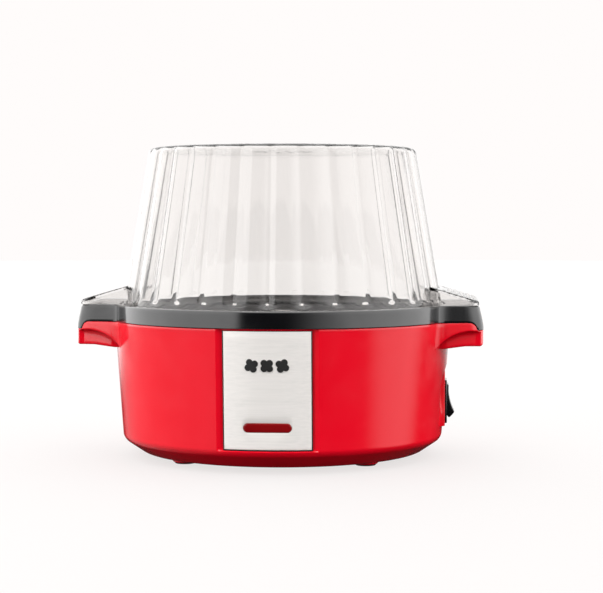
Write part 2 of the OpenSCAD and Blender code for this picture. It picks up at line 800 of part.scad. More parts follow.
module stirrer_hub() {
    color("black") difference() {
        union() {
            translate([0, 0, hub_z]) cylinder(h = hub_top_z - hub_z, r = hub_r);
            translate([0, 0, hub_z]) cylinder(h = 3, r = hub_r + 2);
        }
        translate([0, 0, hub_z - 1]) cylinder(h = 2.2, r = shaft_r + gap);
        translate([-drive_flat / 2 - 0.15, -drive_flat / 2 - 0.15, hub_z - 2])
            cube([drive_flat + 0.3, drive_flat + 0.3, 30]);
        for (s = [0, 180]) rotate(s) translate([6, 0, 99]) rotate([0, 90, 0])
            cylinder(h = 10, r = wire_r, $fn = 16);
    }
}

// Path of one arm: out of the hub, down to the plate and up along its curve
function arm(reach, tip_z) = [[6.2, 0, 99], [20, 0, 99], [32, 0, plate_floor_z + 3.6],
    [reach - 10, 0, plate_floor_z + 3.6], [reach, 0, tip_z]];

module stirring_rod() {
    color("silver") wire(arm(long_arm, plate_floor_z + 5.4), wire_r);
    color("silver") rotate(180) wire(arm(short_arm, plate_floor_z + 9), wire_r);
}

module stirrer_cap() {
    color("silver") translate([0, 0, hub_top_z]) difference() {
        union() {
            cylinder(h = 2.6, r = hub_r - 2);
            translate([0, 0, 2.6]) cylinder(h = 2.4, r = hub_r - 5);
        }
        translate([0, 0, -1]) cylinder(h = 3.6, r = 4);
    }
}

// ---- Switch ----

module switch_body() {
    color("black") difference() {
        union() {
            translate([pad_x, -bezel_w / 2, switch_z - bezel_h / 2]) cube([bezel_t, bezel_w, bezel_h]);
            translate([pad_x - 22, -bezel_w / 2 + 1.3, switch_z - bezel_h / 2 + 0.3])
                cube([22, bezel_w - 2.6, bezel_h - 0.6]);
        }
        // Space that the rocker turns in
        translate([switch_pivot_x, -rocker_w / 2 - gap, switch_z]) rotate([-90, 0, 0])
            cylinder(h = rocker_w + 2 * gap, r = rocker_r + gap);
        translate([switch_pivot_x, -30, switch_z]) rotate([-90, 0, 0]) cylinder(h = 60, r = 1.5, $fn = 48);
    }
    color("goldenrod") for (dz = [-9, 0, 9]) translate([pad_x - 30, -2.4, switch_z + dz - 0.4])
        cube([8, 4.8, 0.8]);
}

module switch_pin() {
    color("silver") translate([switch_pivot_x, -bezel_w / 2 + 1.4, switch_z]) rotate([-90, 0, 0])
        cylinder(h = bezel_w - 2.8, r = 1.5, $fn = 48);
}

// The rocker's outline in x and z about its pivot, at its middle position
module rocker_outline() {
    polygon(concat(arc(0, 0, rocker_r, -rocker_end, -rocker_tip, 6), [[rocker_r * cos(rocker_tip) - 1.1, 0]],
        arc(0, 0, rocker_r, rocker_tip, rocker_end, 6), [[3.2, 9], [-4, 4], [-4, -4], [3.2, -9]]));
}

module rocker() {
    color("black") translate([switch_pivot_x, 0, switch_z]) rotate([0, -rocker_tilt, 0]) difference() {
        along_y(-rocker_w / 2, rocker_w / 2) rocker_outline();
        translate([0, -30, 0]) rotate([-90, 0, 0]) cylinder(h = 60, r = 1.5 + run_gap, $fn = 48);
    }
}

// ---- Wiring ----

block_at = [52, 66];
block_z = under_z + cover_plate_t;

// Lower end of one of the element's cold ends
function element_end(i) =
    [element_r * cos(cold_end_a[i]), element_r * sin(cold_end_a[i]), element_z - cold_end_l - 0.6];

module terminal_block() {
    color("ivory") translate([block_at[0] - 14, block_at[1] - 7, block_z]) difference() {
        cube([28, 14, 12]);
        for (x = [5, 14, 23]) translate([x, -1, 6]) rotate([-90, 0, 0]) cylinder(h = 20, r = 1.6, $fn = 24);
        for (x = [5, 14, 23]) translate([x, 7, 7]) cylinder(h = 10, r = 1.8, $fn = 24);
    }
}

module cord_gland() {
    color("black") difference() {
        union() {
            translate([0, gland_seat_y, gland_z]) rotate([-90, 0, 0]) cylinder(h = 4, r = 9.6);
            translate([0, gland_seat_y - 14, gland_z]) rotate([-90, 0, 0])
                cylinder(h = 14, r = gland_body_r - 0.1);
        }
        translate([0, 90, gland_z]) rotate([-90, 0, 0]) cylinder(h = 60, r = gland_bore_r);
    }
}

module gland_nut() {
    color("black") translate([0, gland_seat_y - 4.5 - 5, gland_z]) rotate([-90, 0, 0]) difference() {
        cylinder(h = 5, r = 11, $fn = 6);
        translate([0, 0, -1]) cylinder(h = 10, r = gland_body_r);
    }
}

module live_wires() {
    z = block_z + 6;
    color("saddlebrown") {
        insulated_wire([[43, 58.5, z], [44, 40, z], [60, 6, 14], [84, 0, 34], [94.8, 0, switch_z]]);
        insulated_wire([[95.2, 1.2, switch_z + 9], [93.6, 1.2, switch_z + 9.2], [92.3, 1, 51.8],
            [91.8, 0, 53.6], [92.2, -5, 56.2], [93, -14, 57], [92, -44, 57], [16, -72, 57],
            element_end(1)]);
    }
}

module neutral_wires() {
    z = block_z + 6;
    color("royalblue") {
        insulated_wire([[52, 58.5, z], [50, 48, z + 4], [24, 40, 22], [17.9, 31.7, 24]]);
        insulated_wire([[61, 58.5, z], [66, 44, 14], [96, 20, 20], [94, -30, 40], [60, -84, 56],
            [-10, -76, 57.5], element_end(0)]);
    }
}

// ---- Screws ----

module cover_screws() {
    color("dimgray") at_each(cover_screw_at) screw(under_z, 8, 1.5, 3.2, 1.6);
}

module bracket_screws() {
    color("dimgray") at_each(post_at) translate([0, 0, 2 * (bracket_z + bracket_t)]) mirror([0, 0, 1])
        screw(bracket_z + bracket_t, 12);
}

module motor_screws() {
    top = bracket_z + bracket_t;
    color("dimgray") at_each([motor_screw_xy[0], motor_screw_xy[1]]) translate([0, 0, 2 * top])
        mirror([0, 0, 1]) screw(top, 12, 1.2);
    color("dimgray") at_each([motor_screw_xy[2], motor_screw_xy[3]]) translate([0, 0, 2 * bracket_z])
        mirror([0, 0, 1]) screw(bracket_z, 10, 1.2);
}

module shield_screws() {
    color("dimgray") at_each(spacer_at) screw(shield_z, 12);
}

module collar_screws() {
    color("dimgray") at_each(collar_screw_at) screw(ledge_z - 5.5, 4.9, collar_screw_r, 2.8);
}

// ---- Dome ----

dome_low_z = ledge_z + gap;
dome_slope = (dome_low_r - dome_top_r) / (dome_top_z - collar_top_z);

function dome_r(z) = dome_low_r - (z - collar_top_z) * dome_slope;

module dome_shell() {
    shoulder = 5;
    inner = shoulder - dome_t;
    top_in = dome_top_z - dome_t;
    side = flute_lean;
    rotate_extrude($fn = fine)
        polygon(concat([[0, top_in]],
            arc(dome_r(top_in) - shoulder - 0.2, top_in - inner, inner, 90, side, 6),
            [[dome_r(collar_top_z) - dome_t, collar_top_z], [dome_r(dome_low_z) - 3.4, dome_low_z],
                [dome_r(dome_low_z) + 1.2, dome_low_z], [dome_r(dome_low_z) + 1.2, collar_top_z - 1],
                [dome_r(collar_top_z), collar_top_z]],
            arc(dome_r(dome_top_z - shoulder) - shoulder, dome_top_z - shoulder, shoulder, side, 90, 6),
            [[0, dome_top_z]]));
}

// Side outline of a clear grip wing, in x and z; inset gives the hollow under it
module grip_wing_outline(inset) {
    base_z = collar_top_z + gap;
    slope = tan(16.4);
    corner = 3;
    top = base_z + 11.6 - inset;
    tip = grip_tip_x - inset;
    polygon(concat([[105, base_z - inset], [tip, base_z - inset]],
        [[tip, top - (tip - 121) * slope - 1.8 + inset / 4],
            [tip - corner, top - (tip - corner - 121) * slope]],
        [[105, top + 16 * slope]]));
}

module grip_wing() {
    difference() {
        intersection() {
            translate([0, 0, 100]) linear_extrude(60)
                handle_plan(grip_tip_x, grip_half_w, handle_corner_r - 3);
            along_y(-60, 60) grip_wing_outline(0);
        }
        intersection() {
            translate([0, 0, 100]) linear_extrude(60)
                handle_plan(grip_tip_x - dome_t, grip_half_w - dome_t, handle_corner_r - 5);
            along_y(-60, 60) grip_wing_outline(dome_t);
        }
    }
}

module fluted_shell() {
    groove_l = dome_top_z - collar_top_z + 20;
    difference() {
        dome_shell();
        // Grooves between the flutes
        for (i = [0 : flutes - 1]) rotate((i + 0.5) * 360 / flutes)
            translate([dome_r(collar_top_z + 3), 0, collar_top_z + 3]) rotate([0, -flute_lean, 0])
                translate([-groove_depth, 0, 0]) linear_extrude(groove_l)
                    polygon([[0, 0], [6, 3.6], [6, -3.6]]);
        // Steam vents in the top
        for (a = [15 : 30 : 345]) rotate(a) translate([14, -1.2, dome_top_z - 6]) cube([10, 2.4, 10]);
    }
}

module dome() {
    color("lightcyan", 0.5) {
        fluted_shell();
        mirror_x() difference() {
            grip_wing();
            rotate_extrude($fn = fine)
                polygon([[0, 90], [dome_r(90) - 1.2, 90], [dome_r(160) - 1.2, 160], [0, 160]]);
        }
    }
}

base_housing();
bottom_cover();
feet();
foot_pads();
front_panel();
panel_trim();
panel_badge();
indicator_lens();
indicator_lamp();
rim_collar();
plate_seal();
heating_plate();
heating_element();
element_clips();
plate_spacers();
heat_shield();
thermostat();
thermal_fuse();
shaft_bush();
drive_shaft();
output_gear();
idler_gear();
idler_axle();
rotor_pinion();
rotor_magnet();
rotor_axle();
stator_coil();
motor_can();
gearbox_case();
gearbox_cover();
motor_bracket();
stirrer_hub();
stirring_rod();
stirrer_cap();
switch_body();
switch_pin();
rocker();
terminal_block();
cord_gland();
gland_nut();
live_wires();
neutral_wires();
cover_screws();
motor_screws();
bracket_screws();
shield_screws();
collar_screws();
dome();
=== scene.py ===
"""Looks of the popcorn maker: smooth meshes for the pieces that show, a procedural finish for every piece,
a pale studio and the camera. Lengths are in millimetres in the frame's axes until a mesh is made."""

import json
import math
from collections import namedtuple

import bmesh
import bpy
import numpy as np
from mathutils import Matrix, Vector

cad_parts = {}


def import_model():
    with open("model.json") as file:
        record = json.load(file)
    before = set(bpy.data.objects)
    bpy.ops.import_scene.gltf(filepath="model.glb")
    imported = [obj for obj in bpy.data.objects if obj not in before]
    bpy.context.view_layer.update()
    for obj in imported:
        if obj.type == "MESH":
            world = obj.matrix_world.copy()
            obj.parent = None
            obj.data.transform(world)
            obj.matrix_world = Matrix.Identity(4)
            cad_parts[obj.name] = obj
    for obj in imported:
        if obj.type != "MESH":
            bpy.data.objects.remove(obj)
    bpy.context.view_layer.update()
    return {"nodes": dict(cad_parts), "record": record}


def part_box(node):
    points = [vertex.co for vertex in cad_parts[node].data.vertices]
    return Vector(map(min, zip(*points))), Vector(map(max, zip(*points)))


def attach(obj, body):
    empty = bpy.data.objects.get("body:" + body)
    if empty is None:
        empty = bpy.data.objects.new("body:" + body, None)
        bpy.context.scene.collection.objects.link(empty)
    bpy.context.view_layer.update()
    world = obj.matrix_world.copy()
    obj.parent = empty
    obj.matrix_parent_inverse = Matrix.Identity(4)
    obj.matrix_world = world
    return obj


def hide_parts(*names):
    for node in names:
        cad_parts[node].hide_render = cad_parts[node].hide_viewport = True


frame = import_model()

MM = 0.001
TAU = 2 * math.pi
Box = namedtuple("Box", "x0 y0 z0 x1 y1 z1")


def box(node):
    """A CAD node's box in millimetres."""
    low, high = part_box(node)
    return Box(*[c / MM for c in low], *[c / MM for c in high])


# ---- Driving dimensions, from the frame ----

HOUSING = box("base_housing")
COLLAR = box("rim_collar")
DOME = box("dome")
PANEL = box("front_panel")
LENS = box("indicator_lens")
PLATE = box("heating_plate")
SWITCH = box("switch_body")
ROCKER = box("rocker")
PIN = box("switch_pin")
HUB = box("stirrer_hub")
CAP = box("stirrer_cap")
ROD = box("stirring_rod")
GLAND = box("cord_gland")
FEET = box("feet")
PADS = box("foot_pads")

# Base wall: a cone that widens upwards
WALL_TOP_R = HOUSING.y1
WALL_TOP_Z = HOUSING.z1
WALL_LOW_R = 122.8
WALL_LOW_Z = 15.5
WALL_T = 3.0
SKIRT_CORNER = (122.68, 13.9)
UNDER_R = 106.5
COVER_HOLE_R = 100.0
NARROWEST_R = 118.0

# Handles and the black wings over them
HANDLE_TIP = HOUSING.x1
HANDLE_HALF = 45.8
HANDLE_LOW_Z = 84.0
HANDLE_ROOT_R = 126.6
HANDLE_STEP = 4.3
WING_HALF = 46.0
WING_CORNER = 10.0
WING_FILLET = 9.0
WING_TAPER = 0.076
TAPER_FROM_X = 126.0
TAPER_LENGTH = 22.0
WING_LEAN = 2.6
BEND_R = 6.0
BEND_X = HANDLE_TIP - 10.5
LIP_Z = COLLAR.z0
WING_GAP = 0.2
ARC_X = HANDLE_TIP - 8.3
ARC_R = 33.9
ARC_Z = LIP_Z - 0.7 - ARC_R
FINGER_HALF = 38.0
FINGER_END = HANDLE_TIP - 3.8
FINGER_TOP = WALL_TOP_Z - 3.0

# Dome and its grips
DOME_SEAT_R = 122.5
DOME_TOP_R = 102.2
DOME_T = 2.3
FLUTES = 30
FLUTE_DEPTH = 2.3
SHOULDER_R = 5.0
VENTS = 12
VENT_FROM_R = 14.0
VENT_TO_R = 24.0
GRIP_HALF = 43.0
GRIP_CORNER = 7.0
GRIP_CREST_X = 121.0
GRIP_RISE = 11.9
GRIP_SLOPE = math.tan(math.radians(16.4))
DOT_PITCH = 4.6
DOT_HEIGHT = 0.55
DOT_SPREAD = 1.25

# Front panel
PANEL_DEPTH = 0.8
RECESS_DEPTH = 1.7
RECESS_HALF = 32.3
BEVEL_W = 4.5
BEVEL_DEPTH = 2.1
RECESS_LOW_Z = 16.7
LENS_Z = (LENS.z0 + LENS.z1) / 2

# Switch, on a pad in a scoop of the wall, which is thicker behind it
PAD_X = 125.3
PAD_HALF = 18.0
PAD_LOW_Z = 23.5
PAD_HIGH_Z = 66.0
SCOOP_R = 57.0
SCOOP_HALF = 30.0
SCOOP_DEPTH = 3.8
SCOOP_RISE = 4.5
BACKING_X = 113.0
BACKING_HALF = 31.5
BACKING_LOW_Z = 19.0
BACKING_HIGH_Z = 71.0
WELL_R = 15.6
WELL_HALF = 9.6
SWITCH_Z = (SWITCH.z0 + SWITCH.z1) / 2
PIVOT_X = (PIN.x0 + PIN.x1) / 2

# Cord gland
GLAND_Z = (GLAND.z0 + GLAND.z1) / 2
GLAND_SHANK_R = 6.4
GLAND_BORE_R = 3.5
GLAND_SEAT_Y = GLAND.y1 - 4

# ---- Mesh tools ----


def smooth_step(a, b, v):
    """0 below a and 1 above b (or the other way round if b is below a), with a soft change between them."""
    t = np.clip((np.asarray(v, float) - a) / (b - a), 0, 1)
    return t * t * (3 - 2 * t)


def soften(corners, radii, steps=4, closed=False, fill=0):
    """The path through corners with each rounded; fill adds that many points along each straight stretch."""
    pts = [np.array(c, float) for c in corners]
    count = len(pts)
    out = []
    for i, p in enumerate(pts):
        ends = not closed and i in (0, count - 1)
        before, after = pts[i - 1], pts[(i + 1) % count]
        if ends:
            arc = [p]
        else:
            back, ahead = before - p, after - p
            lb, la = np.linalg.norm(back), np.linalg.norm(ahead)
            t = min(radii[i], 0.48 * lb, 0.48 * la)
            u = back / lb if lb > 1e-9 else back * 0
            w = ahead / la if la > 1e-9 else ahead * 0
            turns = [math.pi / 2 * k / steps for k in range(steps + 1)]
            arc = [p + t * (1 - math.sin(a)) * u + t * (1 - math.cos(a)) * w for a in turns]
        if out and fill:
            start = out[-1]
            out += [start + (arc[0] - start) * k / (fill + 1) for k in range(1, fill + 1)]
        out += arc
    return out


def shade(mesh, angle):
    """Smooth shading, with edges sharper than angle kept sharp."""
    mesh.shade_smooth()
    mesh.set_sharp_from_angle(angle=math.radians(angle))


def build(name, parts, sharp, work=None):
    """An object from parts, each (points in millimetres, faces), with edges over sharp degrees kept sharp.
    work(bm) may change the joined mesh."""
    points, faces, start = [], [], 0
    for pts, fcs in parts:
        pts = np.asarray(pts, float).reshape(-1, 3)
        points.append(pts)
        faces += [[start + i for i in f] for f in fcs]
        start += len(pts)
    mesh = bpy.data.meshes.new(name)
    mesh.from_pydata((np.vstack(points) * MM).tolist(), [], faces)
    bm = bmesh.new()
    bm.from_mesh(mesh)
    bmesh.ops.remove_doubles(bm, verts=bm.verts, dist=0.002 * MM)
    bmesh.ops.dissolve_degenerate(bm, edges=bm.edges, dist=0.001 * MM)
    if work:
        work(bm)
    bmesh.ops.recalc_face_normals(bm, faces=bm.faces)
    bm.to_mesh(mesh)
    bm.free()
    shade(mesh, sharp)
    obj = bpy.data.objects.new(name, mesh)
    bpy.context.scene.collection.objects.link(obj)
    return obj


def loft(rings, wrap_rings=False):
    """Closed rings of points, joined one to the next; the ends are capped unless the rings wrap round."""
    rings = [np.asarray(r, float) for r in rings]
    n, m = len(rings[0]), len(rings)
    last = m if wrap_rings else m - 1
    faces = []
    for i in range(last):
        a, b = i * n, (i + 1) % m * n
        faces += [(a + j, a + (j + 1) % n, b + (j + 1) % n, b + j) for j in range(n)]
    if not wrap_rings:
        faces.append(tuple(range(n))[::-1])
        faces.append(tuple(range((m - 1) * n, m * n)))
    return np.vstack(rings), faces


def lathe(path, count, axis="z", at=(0, 0, 0)):
    """Turns a closed path of (radius, height) round an axis through at, in count steps."""
    rings = []
    for k in range(count):
        c, s = math.cos(TAU * k / count), math.sin(TAU * k / count)
        if axis == "z":
            rings.append([(at[0] + r * c, at[1] + r * s, at[2] + h) for r, h in path])
        else:
            rings.append([(at[0] + r * c, at[1] + h, at[2] - r * s) for r, h in path])
    return loft(rings, wrap_rings=True)


def tube(path, r, sides=20):
    """A round wire along path with half-round ends."""
    p = np.array(path, float)
    rings = []
    up = np.array([0.0, 1.0, 0.0])
    end_turns = [0, 20, 40, 65, 88]
    turns = [TAU * k / sides for k in range(sides)]
    for i in range(len(p)):
        t = p[min(i + 1, len(p) - 1)] - p[max(i - 1, 0)]
        t /= np.linalg.norm(t)
        v = np.cross(t, up)
        v /= np.linalg.norm(v)
        u = np.cross(v, t)
        spread = [(0, 1.0)]
        if i == 0:
            spread = [(-math.sin(a), math.cos(a)) for a in np.radians(end_turns[::-1])]
        elif i == len(p) - 1:
            spread = [(math.sin(a), math.cos(a)) for a in np.radians(end_turns)]
        for ahead, wide in spread:
            centre = p[i] + t * r * ahead
            rings.append([centre + r * wide * (u * math.cos(a) + v * math.sin(a)) for a in turns])
    return loft(rings)


def mirrored(part):
    """The same part on the other side, at -x."""
    points, faces = part
    return points * np.array([-1, 1, 1]), [f[::-1] for f in faces]


def prism(outline, y0, y1):
    """An outline in x and z, extruded along y."""
    return loft([[(x, y, z) for x, z in outline] for y in (y0, y1)])


def rounded_rect(half_a, half_b, r, steps=5):
    """Points of a rectangle with round corners, in two axes, about the middle."""
    corners = [(half_a, -half_b), (half_a, half_b), (-half_a, half_b), (-half_a, -half_b)]
    return soften(corners, [r] * 4, steps, closed=True, fill=3)


def bevelled(width):
    """A work() that rounds every edge over 35 degrees."""
    def work(bm):
        bmesh.ops.recalc_face_normals(bm, faces=bm.faces)
        least = math.radians(35)
        sharp = [e for e in bm.edges if len(e.link_faces) == 2 and e.calc_face_angle() > least]
        bmesh.ops.bevel(bm, geom=sharp, offset=width * MM, segments=3, profile=0.5,
                        affect="EDGES", clamp_overlap=True)
    return work


# ---- Base housing ----


def wall_r(z):
    """Outer radius of the base wall at height z."""
    return WALL_LOW_R + (z - WALL_LOW_Z) * (WALL_TOP_R - WALL_LOW_R) / (WALL_TOP_Z - WALL_LOW_Z)


def panel_depth(x, z):
    """How far the wall steps in round the steel panel: a flat recess between two sloping strips."""
    depth = BEVEL_DEPTH * np.clip((RECESS_HALF + BEVEL_W - np.abs(x)) / BEVEL_W, 0, 1)
    return depth * smooth_step(RECESS_LOW_Z - 0.4, RECESS_LOW_Z + 0.2, z)


def switch_face(x, y, z):
    """The wall's x round the switch: a round scoop with a flat pad left standing in it."""
    reach = np.clip(z - SWITCH_Z - SCOOP_RISE, 7 - SCOOP_R, SCOOP_R - 7)
    scoop = PAD_X - SCOOP_DEPTH + SCOOP_R - np.sqrt(SCOOP_R ** 2 - reach ** 2)
    inside = smooth_step(SCOOP_HALF + 0.5, SCOOP_HALF - 0.5, np.abs(y))
    x = x + inside * (np.minimum(x, scoop) - x)
    edge = 0.35
    pad = smooth_step(PAD_HALF + edge, PAD_HALF - edge, np.abs(y))
    pad = pad * smooth_step(PAD_LOW_Z - edge, PAD_LOW_Z + edge, z)
    pad = pad * smooth_step(PAD_HIGH_Z + edge, PAD_HIGH_Z - edge, z)
    return x + pad * (PAD_X - x)


def beside(line, *offsets):
    """Places close to a line where the surface changes."""
    return [line + d for d in offsets]


def housing_columns():
    """Angles of the wall's columns as functions of radius, at constant x or y where details need that."""
    def lines(middle, places):
        both_sides = sorted({side * v for v in places for side in (-1, 1)})
        return [lambda r, v=v: middle + math.asin(v / max(r, NARROWEST_R)) for v in both_sides]

    def spokes(first, last):
        return [lambda r, a=a: math.radians(a) for a in range(first, last, 2)]

    front = [3 * k for k in range(11)] + beside(RECESS_HALF, -1, -0.4, -0.2, 0, 0.2, 0.5, 1.3, 2.7)
    front += beside(RECESS_HALF + BEVEL_W, -0.6, -0.2, 0, 0.2, 0.8, 2.2, 5.2, 9.2)
    side = [2 * k for k in range(9)] + beside(PAD_HALF, -0.7, -0.4, -0.2, 0, 0.2, 0.4, 0.8, 2, 4, 6, 8)
    side += beside(SCOOP_HALF, -2.5, -1.5, -0.7, 0, 0.8, 3, 6)
    rear = [1.2 * k for k in range(13)]
    return (lines(-math.pi / 2, front) + spokes(-64, -19) + lines(0, side) + spokes(20, 80)
            + lines(math.pi / 2, rear) + spokes(100, 246))


def housing_profile():
    """The wall's section: (radius, height, shows) down the outside, under the base and up the inside."""
    floor_z, top_round = HOUSING.z0 + WALL_T, 0.9
    corners = [(WALL_TOP_R - WALL_T, WALL_TOP_Z), (WALL_TOP_R, WALL_TOP_Z), SKIRT_CORNER,
               (UNDER_R, HOUSING.z0), (COVER_HOLE_R, HOUSING.z0), (COVER_HOLE_R, floor_z),
               (UNDER_R - 1, floor_z), (WALL_LOW_R - 4, WALL_LOW_Z - 1)]
    path = soften(corners, [0.3, top_round, 3.2, 3.0, 0.4, 0.4, 2.0, 3.0], 6, closed=True)
    heights = [*np.arange(WALL_LOW_Z + 2, WALL_TOP_Z, 1.5), *beside(RECESS_LOW_Z, -0.3, -0.1, 0.1, 0.3)]
    for edge in (PAD_LOW_Z, PAD_HIGH_Z):
        heights += beside(edge, -0.4, -0.2, 0, 0.2, 0.4)
    heights = sorted({round(float(z), 2) for z in heights}, reverse=True)
    wall_start = next(i for i, (r, z) in enumerate(path)
                      if r > WALL_TOP_R - 1 and z < WALL_TOP_Z - top_round + 0.05)
    rest = path[wall_start + 1:]
    under = next(i for i, (r, z) in enumerate(rest) if z < WALL_LOW_Z - 3)
    outside = [(r, z, True) for r, z in path[:wall_start + 1]]
    outside += [(wall_r(z), z, True) for z in heights if rest[0][1] < z < path[wall_start][1]]
    outside += [(r, z, True) for r, z in rest[:under]]
    inside = [(r, z, False) for r, z in rest[under:]]
    inner_wall = [(wall_r(z) - WALL_T, z, False) for z in range(20, 104, 4)]
    return outside + inside + inner_wall


def recessed(x, y, z, r, shows):
    """The wall's y, stepped in round the panel at the front."""
    front = shows & (y < 0) & (np.abs(x) < RECESS_HALF + BEVEL_W + 13.2)
    cap = wall_r(z) - panel_depth(x, z)
    return np.where(front, -np.sqrt(np.maximum(np.minimum(r, cap) ** 2 - x ** 2, 0)), y)


def scooped(x, y, z, shows):
    """The wall's x, with the scoop and the pad outside, and the thicker backing inside."""
    near = (x > 0) & (np.abs(y) < SCOOP_HALF + 6) & (z > BACKING_LOW_Z - 1) & (z < PAD_HIGH_Z + 10)
    x = np.where(near & shows, switch_face(x, y, z), x)
    thick = smooth_step(BACKING_HALF + 0.5, BACKING_HALF - 0.5, np.abs(y))
    thick = thick * smooth_step(BACKING_LOW_Z - 1, BACKING_LOW_Z + 1, z)
    thick = thick * smooth_step(BACKING_HIGH_Z + 1, BACKING_HIGH_Z - 1, z)
    return np.where(near & ~shows, x + thick * (np.minimum(x, BACKING_X) - x), x)


def drilled(x, y, z, shows):
    """The wall's y, with a flat seat and a blind hole for the gland at the rear."""
    behind = shows & (y > 0) & (np.abs(x) < 15)
    away = np.hypot(x, z - GLAND_Z)
    seat = smooth_step(GLAND.x1 + 1, GLAND.x1 + 0.3, away) * (GLAND_SEAT_Y - y)
    y = np.where(behind, y + seat, y)
    hole = smooth_step(GLAND_SHANK_R + 0.8, GLAND_SHANK_R, away) * (GLAND.y0 - 1.5 - y)
    return np.where(behind, y + hole, y)


def housing_wall():
    """The round wall with its skirt and underside, as one ring of columns."""
    r, z, shows = (np.array(v) for v in zip(*housing_profile()))
    rings = []
    for column in housing_columns():
        a = np.array([column(v) for v in r])
        x, y = r * np.cos(a), r * np.sin(a)
        y = recessed(x, y, z, r, shows)
        x = scooped(x, y, z, shows)
        y = drilled(x, y, z, shows)
        rings.append(np.column_stack([x, y, z]))
    return loft(rings, wrap_rings=True)


def bend_down(x, drop_r):
    """Height below the flat top where a handle turns down towards its lip."""
    t = np.clip((np.asarray(x, float) - BEND_X) / drop_r, 0, 1)
    return drop_r - drop_r * np.sqrt(np.maximum(1 - t * t, 0))


def handle_top(x):
    """Top of the red handle at x, with a small round on the outer edge."""
    z = WALL_TOP_Z - bend_down(x, BEND_R)
    lip = LIP_Z - WING_GAP - 0.1
    round_r = 0.3
    edge = max(x - (HANDLE_TIP - round_r), 0)
    return max(z, lip) - (round_r - math.sqrt(max(round_r ** 2 - edge ** 2, 0)))


def handle_side(x, z):
    """Half of the handle's width: on the wall, along a hollow fillet, straight, then round the corner."""
    wall = wall_r(z)
    centre_y = HANDLE_HALF + WING_FILLET
    centre_x = math.sqrt((wall + WING_FILLET) ** 2 - centre_y ** 2)
    if x < centre_x * wall / (wall + WING_FILLET):
        return math.sqrt((wall - 0.3) ** 2 - x * x)
    if x < centre_x:
        return centre_y - math.sqrt(WING_FILLET ** 2 - (x - centre_x) ** 2)
    past = max(x - (HANDLE_TIP - WING_CORNER), 0)
    return HANDLE_HALF - WING_CORNER + math.sqrt(max(WING_CORNER ** 2 - past * past, 0))


def handle_section(x, hollow):
    """Half of the handle's section at x, from the middle of its top round to the middle of its underside."""
    top = handle_top(x)
    under_r = 3
    past = max(x - (HANDLE_TIP - under_r), 0)
    low = HANDLE_LOW_Z + 2 * min(max((x - 124) / 16, 0), 1)
    low += under_r - math.sqrt(max(under_r ** 2 - past * past, 0))
    arc = ARC_Z + math.sqrt(ARC_R ** 2 - min(abs(x - ARC_X), ARC_R - 1) ** 2)
    arc = min(max(arc, low + 0.3), top - 0.4)
    side = handle_side(x, 96)
    step = min(side, HANDLE_HALF - HANDLE_STEP)
    ceiling = FINGER_TOP - max(x - (FINGER_END - 9), 0) * 8.6 / 9 if hollow else low
    corners = [(0, top), (side, top), (side, arc), (step, arc), (step, low), (FINGER_HALF, low),
               (FINGER_HALF, ceiling), (0, ceiling)]
    if step < FINGER_HALF + 0.5:
        corners[5] = corners[6] = (step - 0.5, low)
    path = soften(corners, [0, 1.0, 0.7, 2.6, 1.1, 1.1, 2.2, 0], 5, fill=4)
    half = []
    for y, z in path:
        if y > step and side > step + 0.01:
            y = step + (y - step) * (handle_side(x, z) - step) / (side - step)
        half.append((max(x, math.sqrt(max(HANDLE_ROOT_R ** 2 - y * y, 0))), y, z))
    return half


def handle():
    """The right-hand handle: sections along x, open to the finger hold as far as FINGER_END."""
    bend = [BEND_X + BEND_R * math.sin(math.radians(a)) for a in range(0, 86, 7)]
    corner = [HANDLE_TIP - WING_CORNER * (1 - math.sin(math.radians(a))) for a in range(0, 91, 6)]
    root = list(np.arange(116.5, 128, 0.8)) + [130, 133, 136, 140]
    end = [FINGER_END + 1, HANDLE_TIP - 1.5, HANDLE_TIP - 0.15]
    open_x = sorted({round(x, 3) for x in root + bend + corner if x < FINGER_END - 0.2})
    solid_x = sorted({round(x, 3) for x in bend + corner + end if x > FINGER_END + 0.2})
    places = [(x, True) for x in open_x + [FINGER_END]] + [(x, False) for x in [FINGER_END] + solid_x]
    rings = []
    for x, hollow in places:
        half = handle_section(x, hollow)
        rings.append(half + [(px, -py, pz) for px, py, pz in half[-2:0:-1]])
    return loft(rings)


def tapered(part):
    """Wings and handles narrow a little towards their tips."""
    points, faces = part
    points = np.array(points, float)
    points[:, 1] *= 1 - WING_TAPER * np.clip((np.abs(points[:, 0]) - TAPER_FROM_X) / TAPER_LENGTH, 0, 1)
    return points, faces


def housing():
    """The red housing: the wall and both handles."""
    right = tapered(handle())
    return build("housing_shell", [housing_wall(), right, mirrored(right)], sharp=32)


# ---- Collar ----


def wing_radius(a, tip, half, corner, rim, fillet):
    """Distance from the axis to the outline of a round rim with a wing on each side, in direction a."""
    c, s = abs(math.cos(a)), abs(math.sin(a))
    turn = math.atan2(s, c)
    ax, ay = tip - corner, half - corner
    fy = half + fillet
    fx = math.sqrt((rim + fillet) ** 2 - fy * fy)
    if turn < math.atan2(ay, tip):
        return tip / c
    if turn < math.atan2(half, ax):
        return ax * c + ay * s + math.sqrt(max(corner ** 2 - (ax * s - ay * c) ** 2, 0))
    if turn < math.atan2(half, fx):
        return half / s
    if turn < math.atan2(fy, fx):
        return fx * c + fy * s - math.sqrt(max(fillet ** 2 - (fx * s - fy * c) ** 2, 0))
    return rim


def all_round(quarter):
    """Angles of one quarter, in degrees, repeated round the whole circle."""
    turns = {round(a, 4) for q in quarter for a in (q, 180 - q, 180 + q, 360 - q)}
    return [math.radians(a) for a in sorted(a % 360 for a in turns if a < 360)]


def wing_tip(z):
    """Where the wing ends at height z: it leans in towards its top."""
    return COLLAR.x1 - WING_LEAN * min(max((z - LIP_Z - 2) / 13, 0), 1) ** 1.3


